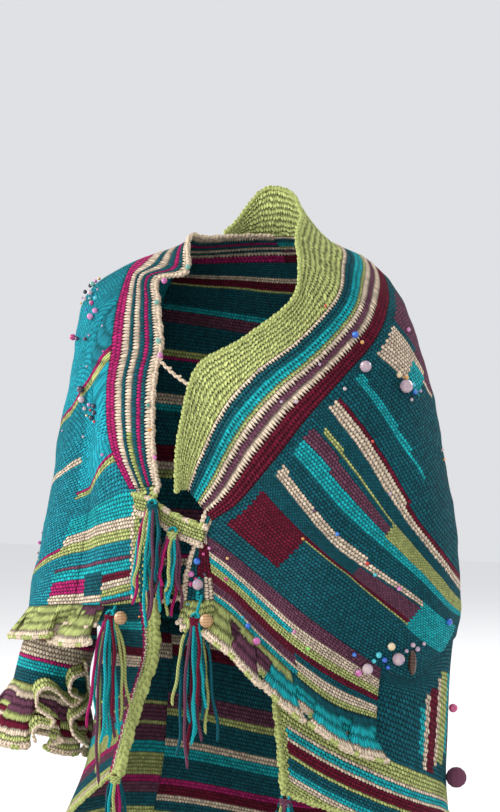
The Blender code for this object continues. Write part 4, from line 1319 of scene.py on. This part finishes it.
LEFT_BEADS = (
    (38.5, 3.64, 1.4, "W"), (45.5, 4.28, 2, "W"), (50.0, 4.34, 2.8, "W"), (58.0, 3.90, 2, "W"),
    (69.5, 3.62, 4.4, "B"), (71.0, 3.74, 2.6, "O"), (53.5, 5.70, 2.6, "D"), (59.0, 5.98, 2.6, "B"),
    (65.5, 6.34, 2.4, "R"), (67.0, 6.48, 2.4, "Q"), (72.0, 6.66, 3, "P"), (88.5, 4.48, 2, "W"),
    (91.5, 3.64, 3, "P"), (63.5, 3.04, 1.8, "R"), (68.5, 5.02, 2, "R"), (71.5, 5.58, 2.4, "W"),
    (96.0, 5.18, 2.2, "W"), (96.5, 5.28, 1.8, "O"), (80.0, 4.26, 3.6, "Y"), (82.8, 4.30, 3, "O"),
    (85.0, 4.40, 3, "Q"), (85.0, 4.49, 3.4, "B"), (83.0, 4.58, 2.2, "W"), (50.5, 6.02, 2, "O"),
    (63.5, 4.32, 2.4, "W"), (25.0, 6.52, 2.4, "M"), (47.5, 7.24, 2.2, "P"), (51.0, 7.50, 2.2, "N"),
    (25.5, 6.24, 2, "O"), (36.5, 7.38, 5, "P"), (33.5, 7.16, 3.6, "B"), (31.5, 7.04, 2.2, "Q"),
)
CORNER_BEADS = (
    (12.0, 6.28, 4.5, "B"), (9.2, 6.46, 4, "P"), (11.4, 6.53, 2.8, "M"), (8.9, 6.60, 3.4, "M"),
    (14.8, 6.18, 2.2, "M"), (17.5, 6.10, 2.2, "P"), (7.6, 6.88, 1.8, "Q"), (15.5, 6.46, 2.2, "D"),
)
ELBOW_BEADS = (
    (70.6, 7.50, 5, "Y"), (74.6, 7.60, 2.6, "W"), (68.0, 7.64, 4, "Q"), (69.4, 7.73, 3.6, "B"),
    (67.0, 7.74, 3, "Q"), (70.4, 7.86, 2.8, "B"), (76.0, 7.50, 3.2, "W"), (77.6, 7.58, 3.2, "W"),
    (79.4, 7.50, 2.4, "W"), (88.0, 7.18, 4.2, "B"), (65.6, 7.86, 7, "W"), (63.6, 7.92, 4.4, "P"),
    (62.5, 7.62, 2.8, "B"),
)


def bead_cluster(name, table):
    """Small beads sewn to the cloth, each resting on it, as one mesh."""
    letters = sorted({row[3] for row in table})
    places, index = [], []
    for angle, level, radius, letter in table:
        size = radius * 0.001
        places.append((on_body(angle, level, size * 0.72 + 0.0008), np.eye(3) * size))
        index.append(letters.index(letter))
    scattered(name, places, [bead_paint(letter) for letter in letters], "pearl_gloss", index, BALL)


bead_paints = {}


def bead_paint(letter):
    if letter not in bead_paints:
        bead_paints[letter] = bead_gloss("bead_gloss_" + letter, *BEAD_COLOURS[letter])
    return bead_paints[letter]


for name, table in (
    ("shoulder_beads", SHOULDER_BEADS), ("arm_beads", ARM_BEADS), ("neck_beads", NECK_BEADS),
    ("left_beads", LEFT_BEADS), ("corner_beads", CORNER_BEADS), ("elbow_beads", ELBOW_BEADS),
):
    bead_cluster(name, table)


LAMPS_AIM = (0, 0, -0.3)


def area_lamp(name, place, size, power):
    lamp = bpy.data.lights.new(name, "AREA")
    lamp.shape = "DISK"
    lamp.size = size
    lamp.energy = power
    holder = bpy.data.objects.new(name, lamp)
    holder.location = place
    x, y, z = np.array(LAMPS_AIM) - place
    holder.rotation_euler = (math.atan2(math.hypot(x, y), -z), 0, math.atan2(y, x) - math.pi / 2)
    bpy.context.scene.collection.objects.link(holder)


AZIMUTH = math.radians(30)
DISTANCE = 3.0
EYE_HEIGHT = -0.154
SIDE_SHIFT = 0.0133
camera_data = bpy.data.cameras.new("camera")
camera_data.lens = 100
camera_data.sensor_width = 36
camera = bpy.data.objects.new("camera", camera_data)
camera.location = (
    DISTANCE * math.sin(AZIMUTH) + SIDE_SHIFT * math.cos(AZIMUTH),
    -DISTANCE * math.cos(AZIMUTH) + SIDE_SHIFT * math.sin(AZIMUTH),
    EYE_HEIGHT,
)
camera.rotation_euler = (math.pi / 2, 0, AZIMUTH)
bpy.context.scene.collection.objects.link(camera)
bpy.context.scene.camera = camera

FLOOR = -0.80
corners = [(x, y, FLOOR) for x in (-6, 6) for y in (-6, 6)]
floor_uv = [(0, 0), (0, 1), (1, 0), (1, 1)]
floor = add_mesh("floor", corners, [(0, 1, 3, 2)], floor_uv, [backdrop_grey()])
world = bpy.data.worlds.new("soft_room")
world.use_nodes = True
world.node_tree.nodes["Background"].inputs["Color"].default_value = (0.93, 0.94, 0.97, 1)
world.node_tree.nodes["Background"].inputs["Strength"].default_value = 0.80
bpy.context.scene.world = world
area_lamp("window", (-2.6, -1.3, 1.0), 1.8, 85)
area_lamp("fill", (1.6, -3.4, 1.4), 2.4, 22)
area_lamp("back_light", (0.6, 2.8, 1.6), 2.4, 42)
bpy.context.scene.view_settings.view_transform = "Standard"
